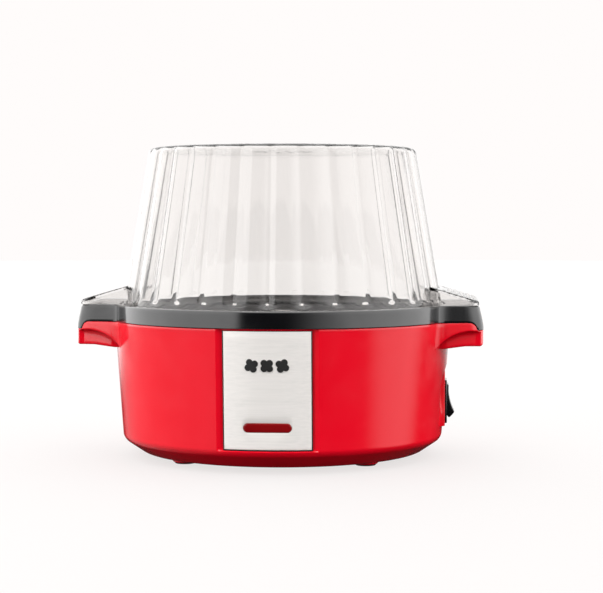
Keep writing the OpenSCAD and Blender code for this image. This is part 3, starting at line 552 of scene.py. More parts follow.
def collar_inside():
    """The collar's inner section: its rest on the wall, its lip, the plate's ledge and the dome's seat."""
    rest_z, lip_z, ledge_z, seat_z = WALL_TOP_Z + 0.2, 99.0, 109.5, 112.0
    rest_r, lip_r, ledge_r, seat_r = 125.7, 122.9, 116.0, 125.4
    corners = [(129.2, rest_z), (rest_r, rest_z), (rest_r, lip_z), (lip_r, lip_z), (lip_r, ledge_z),
               (ledge_r, ledge_z), (ledge_r, seat_z), (seat_r, seat_z), (seat_r, COLLAR.z1), (127, COLLAR.z1)]
    return soften(corners, [0, 0.3, 0.3, 0.3, 0.5, 0.5, 0.6, 0.4, 0.7, 0], 4)


def collar_section(a, inner):
    """The collar's section in direction a: underneath, up the outside, over the round top, down inner."""
    def radius(z):
        return wing_radius(a, wing_tip(z), WING_HALF, WING_CORNER, COLLAR.y1, WING_FILLET)

    def under(r):
        return max(WALL_TOP_Z + WING_GAP - float(bend_down(r * c, BEND_R + 0.2)), LIP_Z)

    c, s = abs(math.cos(a)), abs(math.sin(a))
    low = under(radius(LIP_Z))
    round_r = 1.5 + 1.9 * float(smooth_step(20, 12, math.degrees(math.atan2(s, c))))
    edge = COLLAR.z1 - round_r
    outer = [(radius(z), z) for z in np.linspace(low + 0.25, edge, 9)]
    outer.insert(0, (outer[0][0] - 0.25, low))
    turn = [math.pi / 2 * k / 6 for k in range(1, 7)]
    outer += [(radius(edge) - round_r * (1 - math.cos(t)), edge + round_r * math.sin(t)) for t in turn]
    below = [(r, under(r)) for r in np.linspace(inner[0][0], outer[0][0], 26)[:-1]]
    return below + outer + inner[::-1]


def collar():
    """The black collar with its wings, closely sectioned where a wing's corner turns."""
    quarter = [*np.arange(0, 12, 1.5), *np.arange(12, 24.2, 0.35), *np.arange(25, 90.1, 1.5)]
    inner = collar_inside()
    rings = []
    for a in all_round(quarter):
        c, s = math.cos(a), math.sin(a)
        rings.append([(r * c, r * s, z) for r, z in collar_section(a, inner)])
    return build("collar_ring", [tapered(loft(rings, wrap_rings=True))], sharp=32)


# ---- Dome ----


def dome_r(z):
    """Outer radius of the dome's wall at height z, over the middle of a flute."""
    return DOME_SEAT_R - (z - COLLAR.z1) * (DOME_SEAT_R - DOME_TOP_R) / (DOME.z1 - COLLAR.z1)


def dome_shoulder(round_r, turns):
    """Rows round the edge between wall and top, at round_r from its centre, where the flutes fade out."""
    centre_z = DOME.z1 - SHOULDER_R
    centre_r = dome_r(centre_z) - SHOULDER_R
    return [(centre_r + round_r * math.cos(a), centre_z + round_r * math.sin(a),
             math.sqrt(max(math.cos(a), 0))) for a in turns]


def dome_rows():
    """Rows of the dome's section, outside and then inside: (radius, height, share of the flutes' depth)."""
    top, seat, foot = DOME.z1, COLLAR.z1, dome_r(DOME.z0)
    lean = math.atan2(DOME_SEAT_R - DOME_TOP_R, top - seat)
    flat = dome_r(top - SHOULDER_R) - SHOULDER_R
    walls = [*np.arange(seat + 0.6, seat + 6, 0.9), *np.linspace(seat + 8, top - SHOULDER_R - 1, 20)]
    shares = [float(smooth_step(seat + 0.5, seat + 5, z)) for z in walls]
    rows = [(foot + 1.0, DOME.z0, 0), (foot + 1.2, DOME.z0 + 0.4, 0), (foot + 1.2, seat - 1.3, 0),
            (foot + 0.9, seat - 0.8, 0), (dome_r(seat), seat, 0)]
    rows += [(dome_r(z), z, share) for z, share in zip(walls, shares)]
    rows += dome_shoulder(SHOULDER_R, np.linspace(lean, math.pi / 2, 9))
    rows += [(flat - d, top, 0) for d in (1.5, 4, 8)]
    rows += [(r, top, 0) for r in (80, 60, 40, 26, *range(24, 10, -2), 6, 0)]
    rows += [(row[0], top - DOME_T, 0) for row in rows[::-1] if row[0] < flat - 1]
    rows += dome_shoulder(SHOULDER_R - DOME_T, np.linspace(math.pi / 2, lean, 6))
    rows += [(dome_r(z) - DOME_T, z, share) for z, share in zip(walls[::-1], shares[::-1])]
    return rows + [(dome_r(seat) - DOME_T, seat, 0), (foot - 3.2, DOME.z0 + 0.4, 0), (foot - 2.8, DOME.z0, 0)]


def flute_drop(a):
    """Depth below a flute's crown at angle a: rounded flutes that meet in sharp valleys."""
    share = (a / TAU * FLUTES + 0.5) % 1
    return FLUTE_DEPTH * abs(2 * share - 1) ** 2.4


def cut_vents(bm):
    """Opens the steam vents through the dome's top: a slot in the middle of each twelfth."""
    step = 360 / VENTS
    slots = {}
    for f in bm.faces:
        c = f.calc_center_median() / MM
        a = math.degrees(math.atan2(c.y, c.x)) % 360
        in_slot = VENT_FROM_R < math.hypot(c.x, c.y) < VENT_TO_R and abs(a % step - step / 2) < 4
        if in_slot and c.z > DOME.z1 - DOME_T - 1:
            slots.setdefault(int(a // step), []).append(f)
    rims = []
    for faces in slots.values():
        inside = set(faces)
        rims.append([e for f in faces for e in f.edges if sum(g in inside for g in e.link_faces) == 1])
    bmesh.ops.delete(bm, geom=[f for faces in slots.values() for f in faces], context="FACES")
    for rim in rims:
        bmesh.ops.bridge_loops(bm, edges=[e for e in set(rim) if e.is_valid])
    loose = [v for v in bm.verts if not v.link_faces]
    bmesh.ops.delete(bm, geom=loose, context="VERTS")


def fluted_shell():
    """The dome's wall and top as one skin. The flutes sink in towards the axis, so the top stays level."""
    rows = dome_rows()
    count = FLUTES * 12
    rings = []
    for k in range(count):
        a = TAU * k / count
        c, s = math.cos(a), math.sin(a)
        drop = flute_drop(a)
        sunk = [(r - drop * share, z) for r, z, share in rows]
        rings.append([(r * c, r * s, z) for r, z in sunk])
    return loft(rings, wrap_rings=True)


def grip_top(x):
    """Height of a clear grip's sloping top at x."""
    return COLLAR.z1 + GRIP_RISE - (x - GRIP_CREST_X) * GRIP_SLOPE


def grip_dots(x, y, r, edge):
    """Raised dots on the grip's top, in staggered rows, fading out before its edges."""
    row = round(x / DOT_PITCH)
    dx = x / DOT_PITCH - row
    dy = y / DOT_PITCH + 0.5 * (row % 2)
    dy -= round(dy)
    fade = smooth_step(edge - 1.5, edge - 3.5, r) * smooth_step(126, 128, r)
    fade *= smooth_step(GRIP_HALF - 4, GRIP_HALF - 7, abs(y))
    return DOT_HEIGHT * float(fade) * math.exp(-(dx * dx + dy * dy) * (DOT_PITCH / DOT_SPREAD) ** 2)


def grip_section(a, wall, low):
    """A grip's section in direction a: from low up the outside, along the top to the wall, and back below."""
    c, s = math.cos(a), math.sin(a)
    edge = 1.0
    inside = (DOME.x1 - DOME_T, GRIP_HALF - DOME_T, GRIP_CORNER - DOME_T)
    hidden = (60, 1)  # the outline's rim and fillet, which lie within the dome
    outer = max(wing_radius(a, DOME.x1, GRIP_HALF, GRIP_CORNER, *hidden), wall + 0.05)
    inner = max(wing_radius(a, *inside, *hidden), wall + 0.03)
    crest = grip_top(outer * c) - edge
    top = [(outer, low), (outer, crest)]
    top += [(outer - edge * (1 - math.cos(t)), crest + edge * math.sin(t)) for t in (0.4, 0.8, 1.2)]
    top += [(r, grip_top(r * c)) for r in np.linspace(outer - edge, wall, 34)]
    top = [(max(r, wall), z) for r, z in top]
    raised = [(r, z + grip_dots(r * c, r * s, r, outer)) for r, z in top]
    under = [(r, grip_top(r * c) - DOME_T) for r in np.linspace(wall, max(inner, wall + 0.02), 6)]
    return [(r * c, r * s, z) for r, z in raised + under + [(inner, low)]]


def grip():
    """One clear grip wing: a sloping top with walls round it, open underneath, joined to the dome."""
    low = COLLAR.z1 + 0.3
    wall = dome_r(low) - 1.4
    reach = math.asin(GRIP_HALF / (dome_r(low) - 0.4))
    return loft([grip_section(a, wall, low) for a in np.linspace(-reach, reach, 141)])


def dome():
    """The clear dome with its two grips and its vents."""
    right = grip()
    return build("dome_shell", [fluted_shell(), right, mirrored(right)], sharp=50, work=cut_vents)


# ---- Front panel and lens ----


def on_wall(x, z, depth):
    """A point on the front of the base, depth below the wall's surface."""
    return (x, -math.sqrt((wall_r(z) - depth) ** 2 - x * x), z)


def pill(t, half_l, half_h):
    """A point of a pill-shaped outline about the middle; t runs once round from 0 to 1."""
    straight = half_l - half_h
    a = TAU * t
    return math.copysign(straight, math.cos(a)) + half_h * math.cos(a), half_h * math.sin(a)


def panel_outline(t, inset):
    """A point of the panel's outline about the lens's middle; t runs once round, as on the pill."""
    up, down = PANEL.z1 - LENS_Z, LENS_Z - PANEL.z0
    dx = math.cos(TAU * t) * (PANEL.x1 - PANEL.x0) / 2
    dz = math.sin(TAU * t) * (up + down) / 2
    scale = min((PANEL.x1 - inset) / abs(dx) if abs(dx) > 1e-9 else 1e9,
                ((up if dz > 0 else down) - inset) / abs(dz) if abs(dz) > 1e-9 else 1e9)
    return dx * scale, dz * scale


def panel_turns():
    """Where the panel's outline has points: evenly round, and at its four corners."""
    width, height = PANEL.x1 - PANEL.x0, PANEL.z1 - PANEL.z0
    turns = [k / 64 for k in range(64)]
    for z in (PANEL.z1 - LENS_Z, PANEL.z0 - LENS_Z):
        for x in (PANEL.x0, PANEL.x1):
            turns.append(math.atan2(z / height * 2, x / width * 2) / TAU % 1)
    return sorted(set(round(t, 6) for t in turns))


def panel():
    """The steel sheet, with a round-edged hole for the lens."""
    half_l, half_h = (LENS.x1 - LENS.x0) / 2 + 0.1, (LENS.z1 - LENS.z0) / 2 + 0.1
    turns, edge, back = panel_turns(), 0.35, RECESS_DEPTH - 0.1
    # Rows from the hole's edge (0) to the panel's (1): share of the way, inset from that edge, depth
    rows = [(0, -edge, back), (0, -edge, PANEL_DEPTH + edge), (0, -edge * 0.7, PANEL_DEPTH + edge * 0.3)]
    rows += [(k / 12, 0, PANEL_DEPTH) for k in range(12)]
    rows += [(1, edge, PANEL_DEPTH), (1, edge * 0.3, PANEL_DEPTH + edge * 0.3), (1, 0, PANEL_DEPTH + edge),
             (1, 0, back)]
    rings = []
    for share, inset, depth in rows:
        ring = []
        for t in turns:
            grow = edge + inset if share == 0 else edge
            px, pz = pill(t, half_l + grow, half_h + grow)
            rx, rz = panel_outline(t, inset if share == 1 else edge)
            ring.append(on_wall(px + (rx - px) * share, LENS_Z + pz + (rz - pz) * share, depth))
        rings.append(ring)
    return build("steel_panel", [loft(rings, wrap_rings=True)], sharp=30)


def lens():
    """The indicator window: a pill with a crowned face."""
    half_l, half_h = (LENS.x1 - LENS.x0) / 2, (LENS.z1 - LENS.z0) / 2
    crown = PANEL_DEPTH - 0.22
    rows = [(1, 3.0), (1, PANEL_DEPTH), (0.97, PANEL_DEPTH - 0.12), (0.9, crown)]
    rows += [(f, crown - 0.13 * (1 - f * f)) for f in (0.75, 0.6, 0.4, 0.2, 0.02)]
    rings = []
    for share, depth in rows:
        points = [pill((k + 0.5) / 48, half_l - half_h * (1 - share), half_h * share) for k in range(48)]
        rings.append([on_wall(x, LENS_Z + z, depth) for x, z in points])
    return build("lens_window", [loft(rings)], sharp=40)


# ---- Switch ----


def switch_frame():
    """The switch's bezel with its well, its hidden body and three terminals."""
    face, body_x = SWITCH.x1, PAD_X - 22
    half_y, half_z = (SWITCH.y1 - SWITCH.y0) / 2, (SWITCH.z1 - SWITCH.z0) / 2
    body = (half_y - 1.3, half_z - 0.3, 0.8)
    bezel = (half_y, half_z, 2.2)
    # Rows from the back round the bezel into the well: x, half width, half height, corner radius
    rows = [(body_x, *body), (PAD_X, *body), (PAD_X, *bezel), (face - 0.7, *bezel),
            (face - 0.25, half_y - 0.15, half_z - 0.15, 2.1), (face, half_y - 0.6, half_z - 0.6, 1.8),
            (face, WELL_HALF + 0.5, 14.3, 0.9), (face - 0.2, WELL_HALF + 0.2, 14.0, 0.8),
            (face - 0.7, WELL_HALF, 13.8, 0.7)]
    for x in (125, 123, 121, PIVOT_X):
        rows.append((x, WELL_HALF, math.sqrt(WELL_R ** 2 - (x - PIVOT_X) ** 2), 0.6))
    rows += [(PAD_X - 12, WELL_HALF, WELL_R, 0.6)]
    parts = [loft([[(x, a, SWITCH_Z + b) for a, b in rounded_rect(*shape)] for x, *shape in rows])]
    for middle in (SWITCH_Z - 9, SWITCH_Z, SWITCH_Z + 9):
        tab = rounded_rect(2.4, 0.4, 0.2, 2)
        parts.append(loft([[(x, a, middle + b) for a, b in tab] for x in (SWITCH.x0, body_x + 0.5)]))
    return build("switch_frame", parts, sharp=32)


def rocker():
    """The rocker: round ends and a hollow face, standing with its lower end out."""
    r, tip, end, tilt, hollow = 15.3, 43, 66, math.radians(12), 1.5

    def turn(angle):
        return r * math.cos(math.radians(angle)), r * math.sin(math.radians(angle))

    high = turn(tip)
    outline = [turn(a) for a in np.linspace(-end, -tip, 5)]
    outline += [(high[0] - hollow * (1 - t * t), high[1] * t) for t in np.linspace(-0.88, 0.88, 13)]
    outline += [turn(a) for a in np.linspace(tip, end, 5)]
    outline += [(3.2, 9), (-4, 4), (-4, -4), (3.2, -9)]
    c, s = math.cos(tilt), math.sin(tilt)
    placed = [(PIVOT_X + x * c - z * s, SWITCH_Z + x * s + z * c) for x, z in outline]
    half_w = (ROCKER.y1 - ROCKER.y0) / 2
    return build("rocker_key", [prism(placed, -half_w, half_w)], sharp=40, work=bevelled(0.45))


# ---- Plate and stirrer ----


def plate():
    """The non-stick plate: a flat floor, a raised middle with the shaft's hole, curved sides and a flange."""
    floor_z, floor_r, rim_r, t, hole_r = 86.5, 86.0, 112.0, 2.5, 6.5
    rise, side = PLATE.z1 - floor_z, rim_r - floor_r
    curve = [(floor_r + side * math.sin(a), floor_z + rise * (1 - math.cos(a)))
             for a in np.radians(range(0, 81, 8))]
    back = [(floor_r + (side + t) * math.sin(a), PLATE.z0 + (rise - 0.5) * (1 - math.cos(a)))
            for a in np.radians(range(72, -1, -8))]
    boss_z = floor_z + 4
    boss = soften([(hole_r, boss_z), (11, boss_z), (18, floor_z), (floor_r - 4, floor_z)], [0, 2.4, 4, 0], 5)
    flange = soften([curve[-1], (rim_r, PLATE.z1), (PLATE.x1, PLATE.z1), (PLATE.x1, PLATE.z1 - 2),
                     (rim_r + t, PLATE.z1 - 2), back[0]], [0, 1.6, 0.6, 0.6, 1, 0], 4)
    path = boss + curve + flange[1:-1] + back + [(hole_r, PLATE.z0)]
    return build("plate_pan", [lathe(path, 180)], sharp=40)


def hub():
    """The stirrer's hub: a collar under a ribbed body, round the shaft."""
    body, hole, shoulder = HUB.x1 - 2, 4.3, HUB.z0 + 3.4
    ribs, rib_share, count = 18, 0.045, 144
    path = soften([(hole, HUB.z0), (HUB.x1, HUB.z0), (HUB.x1, HUB.z0 + 3), (body, shoulder),
                   (body - 0.4, HUB.z1), (hole, HUB.z1)], [0.3, 0.8, 1.0, 1.0, 1.4, 0.3], 5, closed=True)
    r, z = np.array(path).T
    on_side = smooth_step(shoulder, shoulder + 1.2, z) * smooth_step(HUB.z1 - 0.9, HUB.z1 - 2, z) * (r > 8)
    rings = []
    for k in range(count):
        a = TAU * k / count
        groove = rib_share * float(smooth_step(0.55, 0.95, abs(math.sin(a * ribs / 2))))
        ribbed = r * (1 - groove * on_side)
        rings.append(np.column_stack([ribbed * math.cos(a), ribbed * math.sin(a), z]))
    return build("hub_boss", [loft(rings, wrap_rings=True)], sharp=40)


def cap():
    """The steel cap on the hub: a low round nut, hollow underneath, with a raised middle."""
    r, low, high = CAP.x1, CAP.z0, CAP.z1
    hollow_r, hollow_z = 4, low + 2.6
    path = soften([(0, hollow_z), (hollow_r, hollow_z), (hollow_r, low), (r, low), (r, low + 2.4),
                   (r - 3, low + 2.9), (r - 3.2, high), (0, high)], [0, 0.2, 0.2, 0.3, 0.9, 0.5, 1.4, 0], 5)
    return build("cap_nut", [lathe(path, 96)], sharp=40)


def rod():
    """Two steel wires out of the hub, bent down to sweep just above the plate."""
    r, out_z, low_z = 1.9, 99.0, 90.1
    arms = []
    for reach, tip_z, side in ((ROD.x1 - r, 91.9, 1), (-ROD.x0 - r, 95.5, -1)):
        corners = [(6.2, out_z), (20, out_z), (32, low_z), (reach - 10, low_z), (reach - 0.3, tip_z)]
        path = soften(corners, [0, 5, 5, 5, 0], 8, fill=3)
        arms.append(tube([(side * x, 0, z) for x, z in path], r))
    return build("rod_wires", arms, sharp=60)


# ---- Feet and gland ----


def round_blocks(name, node, r, edge):
    """Four low round blocks of radius r, one in each corner of the node's box, with a rounded lower edge."""
    path = soften([(0, node.z0), (r - 0.6, node.z0), (r, node.z1), (0, node.z1)], [0, edge, 0.2, 0], 5)
    corners = [(sx * (node.x1 - r), sy * (node.y1 - r), 0) for sx in (-1, 1) for sy in (-1, 1)]
    return build(name, [lathe(path, 64, at=corner) for corner in corners], sharp=50)


def gland():
    """The cord gland in the rear wall: a round flange with a flared bore, and a plain shank."""
    flange_r, y0, y1 = GLAND.x1, GLAND.y0, GLAND.y1
    corners = [(GLAND_BORE_R, y0), (GLAND_SHANK_R, y0), (GLAND_SHANK_R, GLAND_SEAT_Y),
               (flange_r, GLAND_SEAT_Y), (flange_r - 0.5, y1 - 0.2), (GLAND_BORE_R + 1.9, y1),
               (GLAND_BORE_R, y1 - 2.6)]
    path = soften(corners, [0.2, 0.3, 0.2, 0.4, 1.2, 1.3, 1.6], 5, closed=True)
    return build("gland_body", [lathe(path, 96, "y", (0, 0, GLAND_Z))], sharp=40)


# ---- Materials ----


class Nodes:
    """Makes and joins the nodes of one shader tree."""

    def __init__(self, tree):
        self.tree = tree

    def link(self, source, target):
        self.tree.links.new(source, target)

    def math(self, operation, a, b=None):
        node = self.tree.nodes.new("ShaderNodeMath")
        node.operation = operation
        for socket, value in zip(node.inputs, (a, b)):
            if value is None:
                continue
            if isinstance(value, (int, float)):
                socket.default_value = value
            else:
                self.link(value, socket)
        return node.outputs[0]

    def ramp(self, source, low, high, start=0.3, end=0.7):
        """Goes from low to high while source goes from start to end."""
        node = self.tree.nodes.new("ShaderNodeMapRange")
        node.inputs["From Min"].default_value = start
        node.inputs["From Max"].default_value = end
        node.inputs["To Min"].default_value = low
        node.inputs["To Max"].default_value = high
        self.link(source, node.inputs["Value"])
        return node.outputs["Result"]


class Finish(Nodes):
    """A Principled material with helpers that add procedural detail to its sockets."""

    def __init__(self, name, color, roughness, metallic=0.0, **sockets):
        self.material = bpy.data.materials.new(name)
        self.material.use_nodes = True
        super().__init__(self.material.node_tree)
        self.shader = self.tree.nodes["Principled BSDF"]
        self.color = (*color, 1.0)
        self.set("Base Color", self.color)
        self.set("Roughness", roughness)
        self.set("Metallic", metallic)
        for socket, value in sockets.items():
            self.set(socket.replace("_", " "), value)
        self.position = self.tree.nodes.new("ShaderNodeTexCoord").outputs["Object"]
        self.height = None

    def set(self, socket, value):
        self.shader.inputs[socket].default_value = value

    def noise(self, scale, detail=3.0, stretch=(1, 1, 1)):
        """Noise with scale cells to the metre; stretch scales each axis, for grain that runs one way."""
        mapping = self.tree.nodes.new("ShaderNodeMapping")
        mapping.inputs["Scale"].default_value = stretch
        self.link(self.position, mapping.inputs["Vector"])
        node = self.tree.nodes.new("ShaderNodeTexNoise")
        node.inputs["Scale"].default_value = scale
        node.inputs["Detail"].default_value = detail
        self.link(mapping.outputs["Vector"], node.inputs["Vector"])
        return node.outputs["Fac"]

    def tint(self, source, other):
        """Varies the base colour towards other as source goes from 0 to 1."""
        node = self.tree.nodes.new("ShaderNodeMix")
        node.data_type = "RGBA"
        node.inputs["A"].default_value = self.color
        node.inputs["B"].default_value = (*other, 1.0)
        self.link(source, node.inputs["Factor"])
        self.link(node.outputs["Result"], self.shader.inputs["Base Color"])
        return self

    def rough(self, source, low, high):
        self.link(self.ramp(source, low, high), self.shader.inputs["Roughness"])
        return self

    def bump(self, source, distance, strength=1.0):
        """Raises the surface by distance, in millimetres, where source is 1."""
        node = self.tree.nodes.new("ShaderNodeBump")
        node.inputs["Strength"].default_value = strength
        node.inputs["Distance"].default_value = distance * MM
        self.link(source, node.inputs["Height"])
        if self.height is not None:
            self.link(self.height, node.inputs["Normal"])
        self.height = node.outputs["Normal"]
        self.link(self.height, self.shader.inputs["Normal"])
        return self


def gloss(name, color, other, roughness=0.14, coat=0.5, **sockets):
    """High-gloss moulded plastic: faint flow marks, a fine orange peel and uneven polish."""
    f = Finish(name, color, roughness, Coat_Weight=coat, Coat_Roughness=0.04, **sockets)
    flow = f.noise(14, 4, (1, 1, 0.35))
    f.tint(f.ramp(flow, 0, 1, 0.35, 0.7), other)
    f.rough(f.noise(60, 5), roughness * 0.8, roughness * 1.35)
    f.bump(f.noise(420, 2), 0.012, 0.5)
    return f.material


def matte(name, color, other, roughness=0.55, grain=900, depth=0.05, **sockets):
    """Spark-eroded matt plastic or rubber, with a fine grain and slight blotches."""
    f = Finish(name, color, roughness, **sockets)
    f.tint(f.ramp(f.noise(40, 4), 0, 1), other)
    f.rough(f.noise(110, 4), roughness * 0.85, roughness * 1.15)
    f.bump(f.noise(grain, 3), depth, 0.7)
    return f.material


def metal(name, color, other, roughness=0.3, stretch=(1, 1, 1), grain=700, depth=0.01, **sockets):
    """Bare metal whose grain runs along the short axes of stretch."""
    f = Finish(name, color, roughness, 1.0, **sockets)
    lines = f.noise(grain, 4, stretch)
    f.tint(f.ramp(lines, 0, 1, 0.25, 0.75), other)
    f.rough(f.noise(grain * 0.4, 3, stretch), roughness * 0.75, roughness * 1.3)
    f.bump(lines, depth, 0.6)
    return f.material


def brushed_panel():
    """Satin steel brushed straight across, under a clear lacquer."""
    f = Finish("brushed_steel", (0.95, 0.915, 0.885), 0.42, 0.15, Coat_Weight=0.25, Coat_Roughness=0.12)
    fine = f.noise(900, 3, (0.025, 1, 1))
    broad = f.noise(160, 2, (0.02, 1, 1))
    f.tint(f.math("MULTIPLY", f.ramp(fine, 0, 1), f.ramp(broad, 0.5, 1)), (0.86, 0.835, 0.805))
    f.rough(fine, 0.36, 0.5)
    f.bump(fine, 0.012, 0.5)
    return f.material


def clear():
    """Clear polished plastic, with a trace of flow marks in its surface."""
    f = Finish("clear_plastic", (0.94, 0.93, 0.92), 0.03, Transmission_Weight=1.0, IOR=1.47)
    f.tint(f.ramp(f.noise(9, 2), 0, 1), (0.92, 0.91, 0.9))
    f.rough(f.noise(30, 3), 0.015, 0.05)
    f.bump(f.noise(55, 2), 0.05, 0.4)
    return f.material


def nonstick():
    """Dark non-stick coating: a satin film with fine lighter specks."""
    f = Finish("nonstick", (0.035, 0.034, 0.036), 0.32, 0.2, Coat_Weight=0.3, Coat_Roughness=0.25)
    specks = f.ramp(f.noise(1500, 1), 0, 1, 0.66, 0.72)
    f.tint(specks, (0.16, 0.155, 0.15))
    f.rough(f.noise(70, 4), 0.27, 0.42)
    f.bump(f.noise(650, 3), 0.02, 0.5)
    return f.material


def coil():
    """Enamelled copper turns, wound round the ring."""
    f = Finish("coil_copper", (0.62, 0.25, 0.1), 0.35, 0.8, Coat_Weight=0.4)
    wave = f.tree.nodes.new("ShaderNodeTexWave")
    wave.bands_direction = "Z"
    wave.inputs["Scale"].default_value = 380
    wave.inputs["Distortion"].default_value = 0.6
    f.link(f.position, wave.inputs["Vector"])
    f.tint(wave.outputs["Fac"], (0.36, 0.12, 0.04))
    f.rough(f.noise(200, 3), 0.28, 0.45)
    f.bump(wave.outputs["Fac"], 0.2, 0.8)
    return f.material


def finishes():
    """A material for each of the record's slots."""
    upright_grain, sheet_grain = (1, 1, 0.1), (0.06, 1, 1)
    return {
        "red_plastic": gloss("red_plastic", (0.86, 0.003, 0.018), (0.8, 0.002, 0.014), 0.16, 0.25),
        "black_plastic": gloss("black_plastic", (0.003, 0.003, 0.004), (0.006, 0.006, 0.007), 0.18, 0.5),
        "clear_plastic": clear(),
        "brushed_steel": brushed_panel(),
        "badge_black": matte("badge_black", (0.008, 0.008, 0.008), (0.02, 0.02, 0.02), 0.45, 500, 0.01),
        "lens_red": gloss("lens_red", (0.19, 0.0015, 0.003), (0.26, 0.004, 0.006), 0.1, 0.2),
        "lamp_glass": gloss("lamp_glass", (1.0, 0.45, 0.2), (0.9, 0.35, 0.12), 0.08, 0.6,
                            Transmission_Weight=0.7),
        "seal_rubber": matte("seal_rubber", (0.12, 0.12, 0.12), (0.09, 0.09, 0.09), 0.7, 800, 0.03),
        "foot_rubber": matte("foot_rubber", (0.12, 0.006, 0.012), (0.08, 0.004, 0.008), 0.75, 700, 0.05),
        "nonstick": nonstick(),
        "element_steel": metal("element_steel", (0.34, 0.3, 0.27), (0.2, 0.17, 0.19), 0.45, grain=300),
        "zinc_steel": metal("zinc_steel", (0.66, 0.67, 0.69), (0.5, 0.52, 0.56), 0.34, upright_grain, 400),
        "bright_steel": metal("bright_steel", (0.82, 0.81, 0.8), (0.7, 0.69, 0.68), 0.16,
                              grain=600, depth=0.004),
        "shield_aluminium": metal("shield_aluminium", (0.8, 0.8, 0.81), (0.68, 0.68, 0.69), 0.3,
                                  sheet_grain, 500),
        "ceramic_white": matte("ceramic_white", (0.84, 0.81, 0.76), (0.76, 0.73, 0.68), 0.5, 600, 0.03),
        "bronze": metal("bronze", (0.62, 0.42, 0.2), (0.46, 0.3, 0.14), 0.42, grain=1200, depth=0.03),
        "pinion_brass": metal("pinion_brass", (0.8, 0.6, 0.28), (0.7, 0.5, 0.22), 0.25, upright_grain, 600),
        "gear_nylon": matte("gear_nylon", (0.83, 0.81, 0.74), (0.78, 0.75, 0.68), 0.42, 500, 0.02,
                            Subsurface_Weight=0.1, Subsurface_Scale=0.002),
        "magnet_ferrite": matte("magnet_ferrite", (0.05, 0.05, 0.055), (0.08, 0.08, 0.085), 0.6, 900, 0.05),
        "coil_copper": coil(),
        "black_matte": matte("black_matte", (0.014, 0.014, 0.015), (0.024, 0.024, 0.026), 0.42, 900, 0.04),
        "screw_steel": metal("screw_steel", (0.2, 0.2, 0.21), (0.13, 0.13, 0.14), 0.35, grain=500),
        "wire_brown": matte("wire_brown", (0.2, 0.075, 0.03), (0.16, 0.06, 0.02), 0.4, 500, 0.01),
        "wire_blue": matte("wire_blue", (0.03, 0.11, 0.45), (0.02, 0.09, 0.38), 0.4, 500, 0.01),
    }


def dress(obj, material):
    """Gives an object this one material."""
    obj.data.materials.clear()
    obj.data.materials.append(material)


# ---- The object ----

looks = finishes()
node_slot = {part["node"]: part["material_slot"] for part in frame["record"]["subparts"]}
for node, obj in frame["nodes"].items():
    dress(obj, looks[node_slot[node]])


def stand_in(piece, body, node):
    """piece rides on body, takes the node's finish, and is shown instead of the node."""
    dress(piece, looks[node_slot[node]])
    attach(piece, body)
    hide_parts(node)


stand_in(housing(), "base", "base_housing")
stand_in(collar(), "base", "rim_collar")
stand_in(panel(), "base", "front_panel")
stand_in(lens(), "base", "indicator_lens")
stand_in(plate(), "base", "heating_plate")
stand_in(switch_frame(), "base", "switch_body")
stand_in(gland(), "base", "cord_gland")
stand_in(round_blocks("foot_blocks", FEET, r=9.5, edge=0.7), "base", "feet")
stand_in(round_blocks("foot_soles", PADS, r=8.0, edge=0.4), "base", "foot_pads")
stand_in(rocker(), "switch_rocker", "rocker")
stand_in(hub(), "stirrer", "stirrer_hub")
stand_in(rod(), "stirrer", "stirring_rod")
stand_in(cap(), "stirrer", "stirrer_cap")
stand_in(dome(), "dome", "dome")

# ---- Studio ----

FLOOR_R = 6.0
PAPER = (1.0, 0.973, 0.964, 1.0)


def floor():
    """A pale floor that glows: it takes a soft shadow of the object and is hidden from its reflections."""
    turns = np.arange(96) / 96 * TAU
    rim = [(FLOOR_R * math.cos(a), FLOOR_R * math.sin(a), 0) for a in turns]
    mesh = bpy.data.meshes.new("floor")
    mesh.from_pydata(rim, [], [tuple(range(96))])
    obj = bpy.data.objects.new("floor", mesh)
    bpy.context.scene.collection.objects.link(obj)
    f = Finish("floor_paper", (0.06, 0.06, 0.06), 0.9, Emission_Color=PAPER, Emission_Strength=0.745)
    f.tint(f.ramp(f.noise(2, 2), 0, 1), (0.058, 0.058, 0.058))
    dress(obj, f.material)
    obj.visible_glossy = obj.visible_diffuse = False


def backdrop():
    """A plain pale wall all round, seen directly and through the dome; the world's light passes it."""
    bpy.ops.mesh.primitive_uv_sphere_add(segments=64, ring_count=32, radius=FLOOR_R * 0.98)
    obj = bpy.context.object
    obj.name = "backdrop"
    material = bpy.data.materials.new("backdrop_paper")
    material.use_nodes = True
    nodes = material.node_tree.nodes
    nodes.remove(nodes["Principled BSDF"])
    glow = nodes.new("ShaderNodeEmission")
    glow.inputs["Color"].default_value = PAPER
    glow.inputs["Strength"].default_value = 1.0
    material.node_tree.links.new(glow.outputs[0], nodes["Material Output"].inputs["Surface"])
    dress(obj, material)
    obj.visible_glossy = obj.visible_diffuse = obj.visible_shadow = False


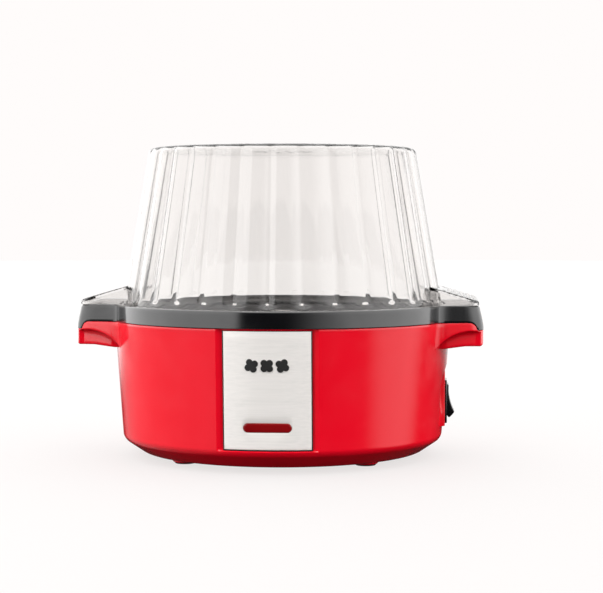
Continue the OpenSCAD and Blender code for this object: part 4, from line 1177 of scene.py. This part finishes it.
def world():
    """Soft light: an even wall on the left, one that fades in on the right, a bright top and back, and little
    from the front or from below the horizon."""
    studio = bpy.data.worlds.new("studio")
    bpy.context.scene.world = studio
    studio.use_nodes = True
    f = Nodes(studio.node_tree)
    split = f.tree.nodes.new("ShaderNodeSeparateXYZ")
    f.link(f.tree.nodes.new("ShaderNodeTexCoord").outputs["Generated"], split.inputs[0])
    x, y, z = split.outputs

    def band(source, start, end, low, high):
        """A ramp with soft ends, on one part of the direction."""
        out = f.ramp(source, low, high, start, end)
        out.node.interpolation_type = "SMOOTHSTEP"
        return out

    def add(a, b):
        return f.math("ADD", a, b)

    def both(a, b):
        return f.math("MULTIPLY", a, b)

    above = band(z, -0.13, -0.07, 0.0, 1.0)
    under = both(band(z, -0.07, -0.13, 0.0, 1.0), band(z, -0.9, -0.35, 0.35, 1.0))
    sides_above = add(band(x, -0.36, -0.46, 0.0, 2.7), band(x, 0.12, 0.96, 0.0, 2.6))
    sides_under = add(band(x, -0.4, -0.6, 0.02, 0.36), band(x, 0.86, 0.98, 0.0, 1.0))
    back = both(band(y, 0.15, 0.6, 0.0, 1.1), above)
    top = band(z, 0.3, 0.8, 0.0, 3.2)
    sides = add(both(sides_above, above), both(sides_under, under))
    background = f.tree.nodes["Background"]
    background.inputs["Color"].default_value = (1.0, 0.995, 0.99, 1.0)
    f.link(f.math("MAXIMUM", f.math("MAXIMUM", sides, back), top), background.inputs["Strength"])


def camera():
    """The photograph's viewpoint: a long lens a little to the right, just above the rim's height."""
    data = bpy.data.cameras.new("camera")
    data.lens = 103.8
    data.sensor_width = 36.0
    obj = bpy.data.objects.new("camera", data)
    distance, height, around = 1.344, 0.1832, math.radians(5.1)
    obj.location = (distance * math.sin(around), -distance * math.cos(around), height)
    obj.rotation_euler = (math.radians(90 - 2.65), 0, around - math.radians(0.62))
    bpy.context.scene.collection.objects.link(obj)
    bpy.context.scene.camera = obj


camera()
floor()
backdrop()
world()
bpy.context.scene.view_settings.view_transform = "Standard"
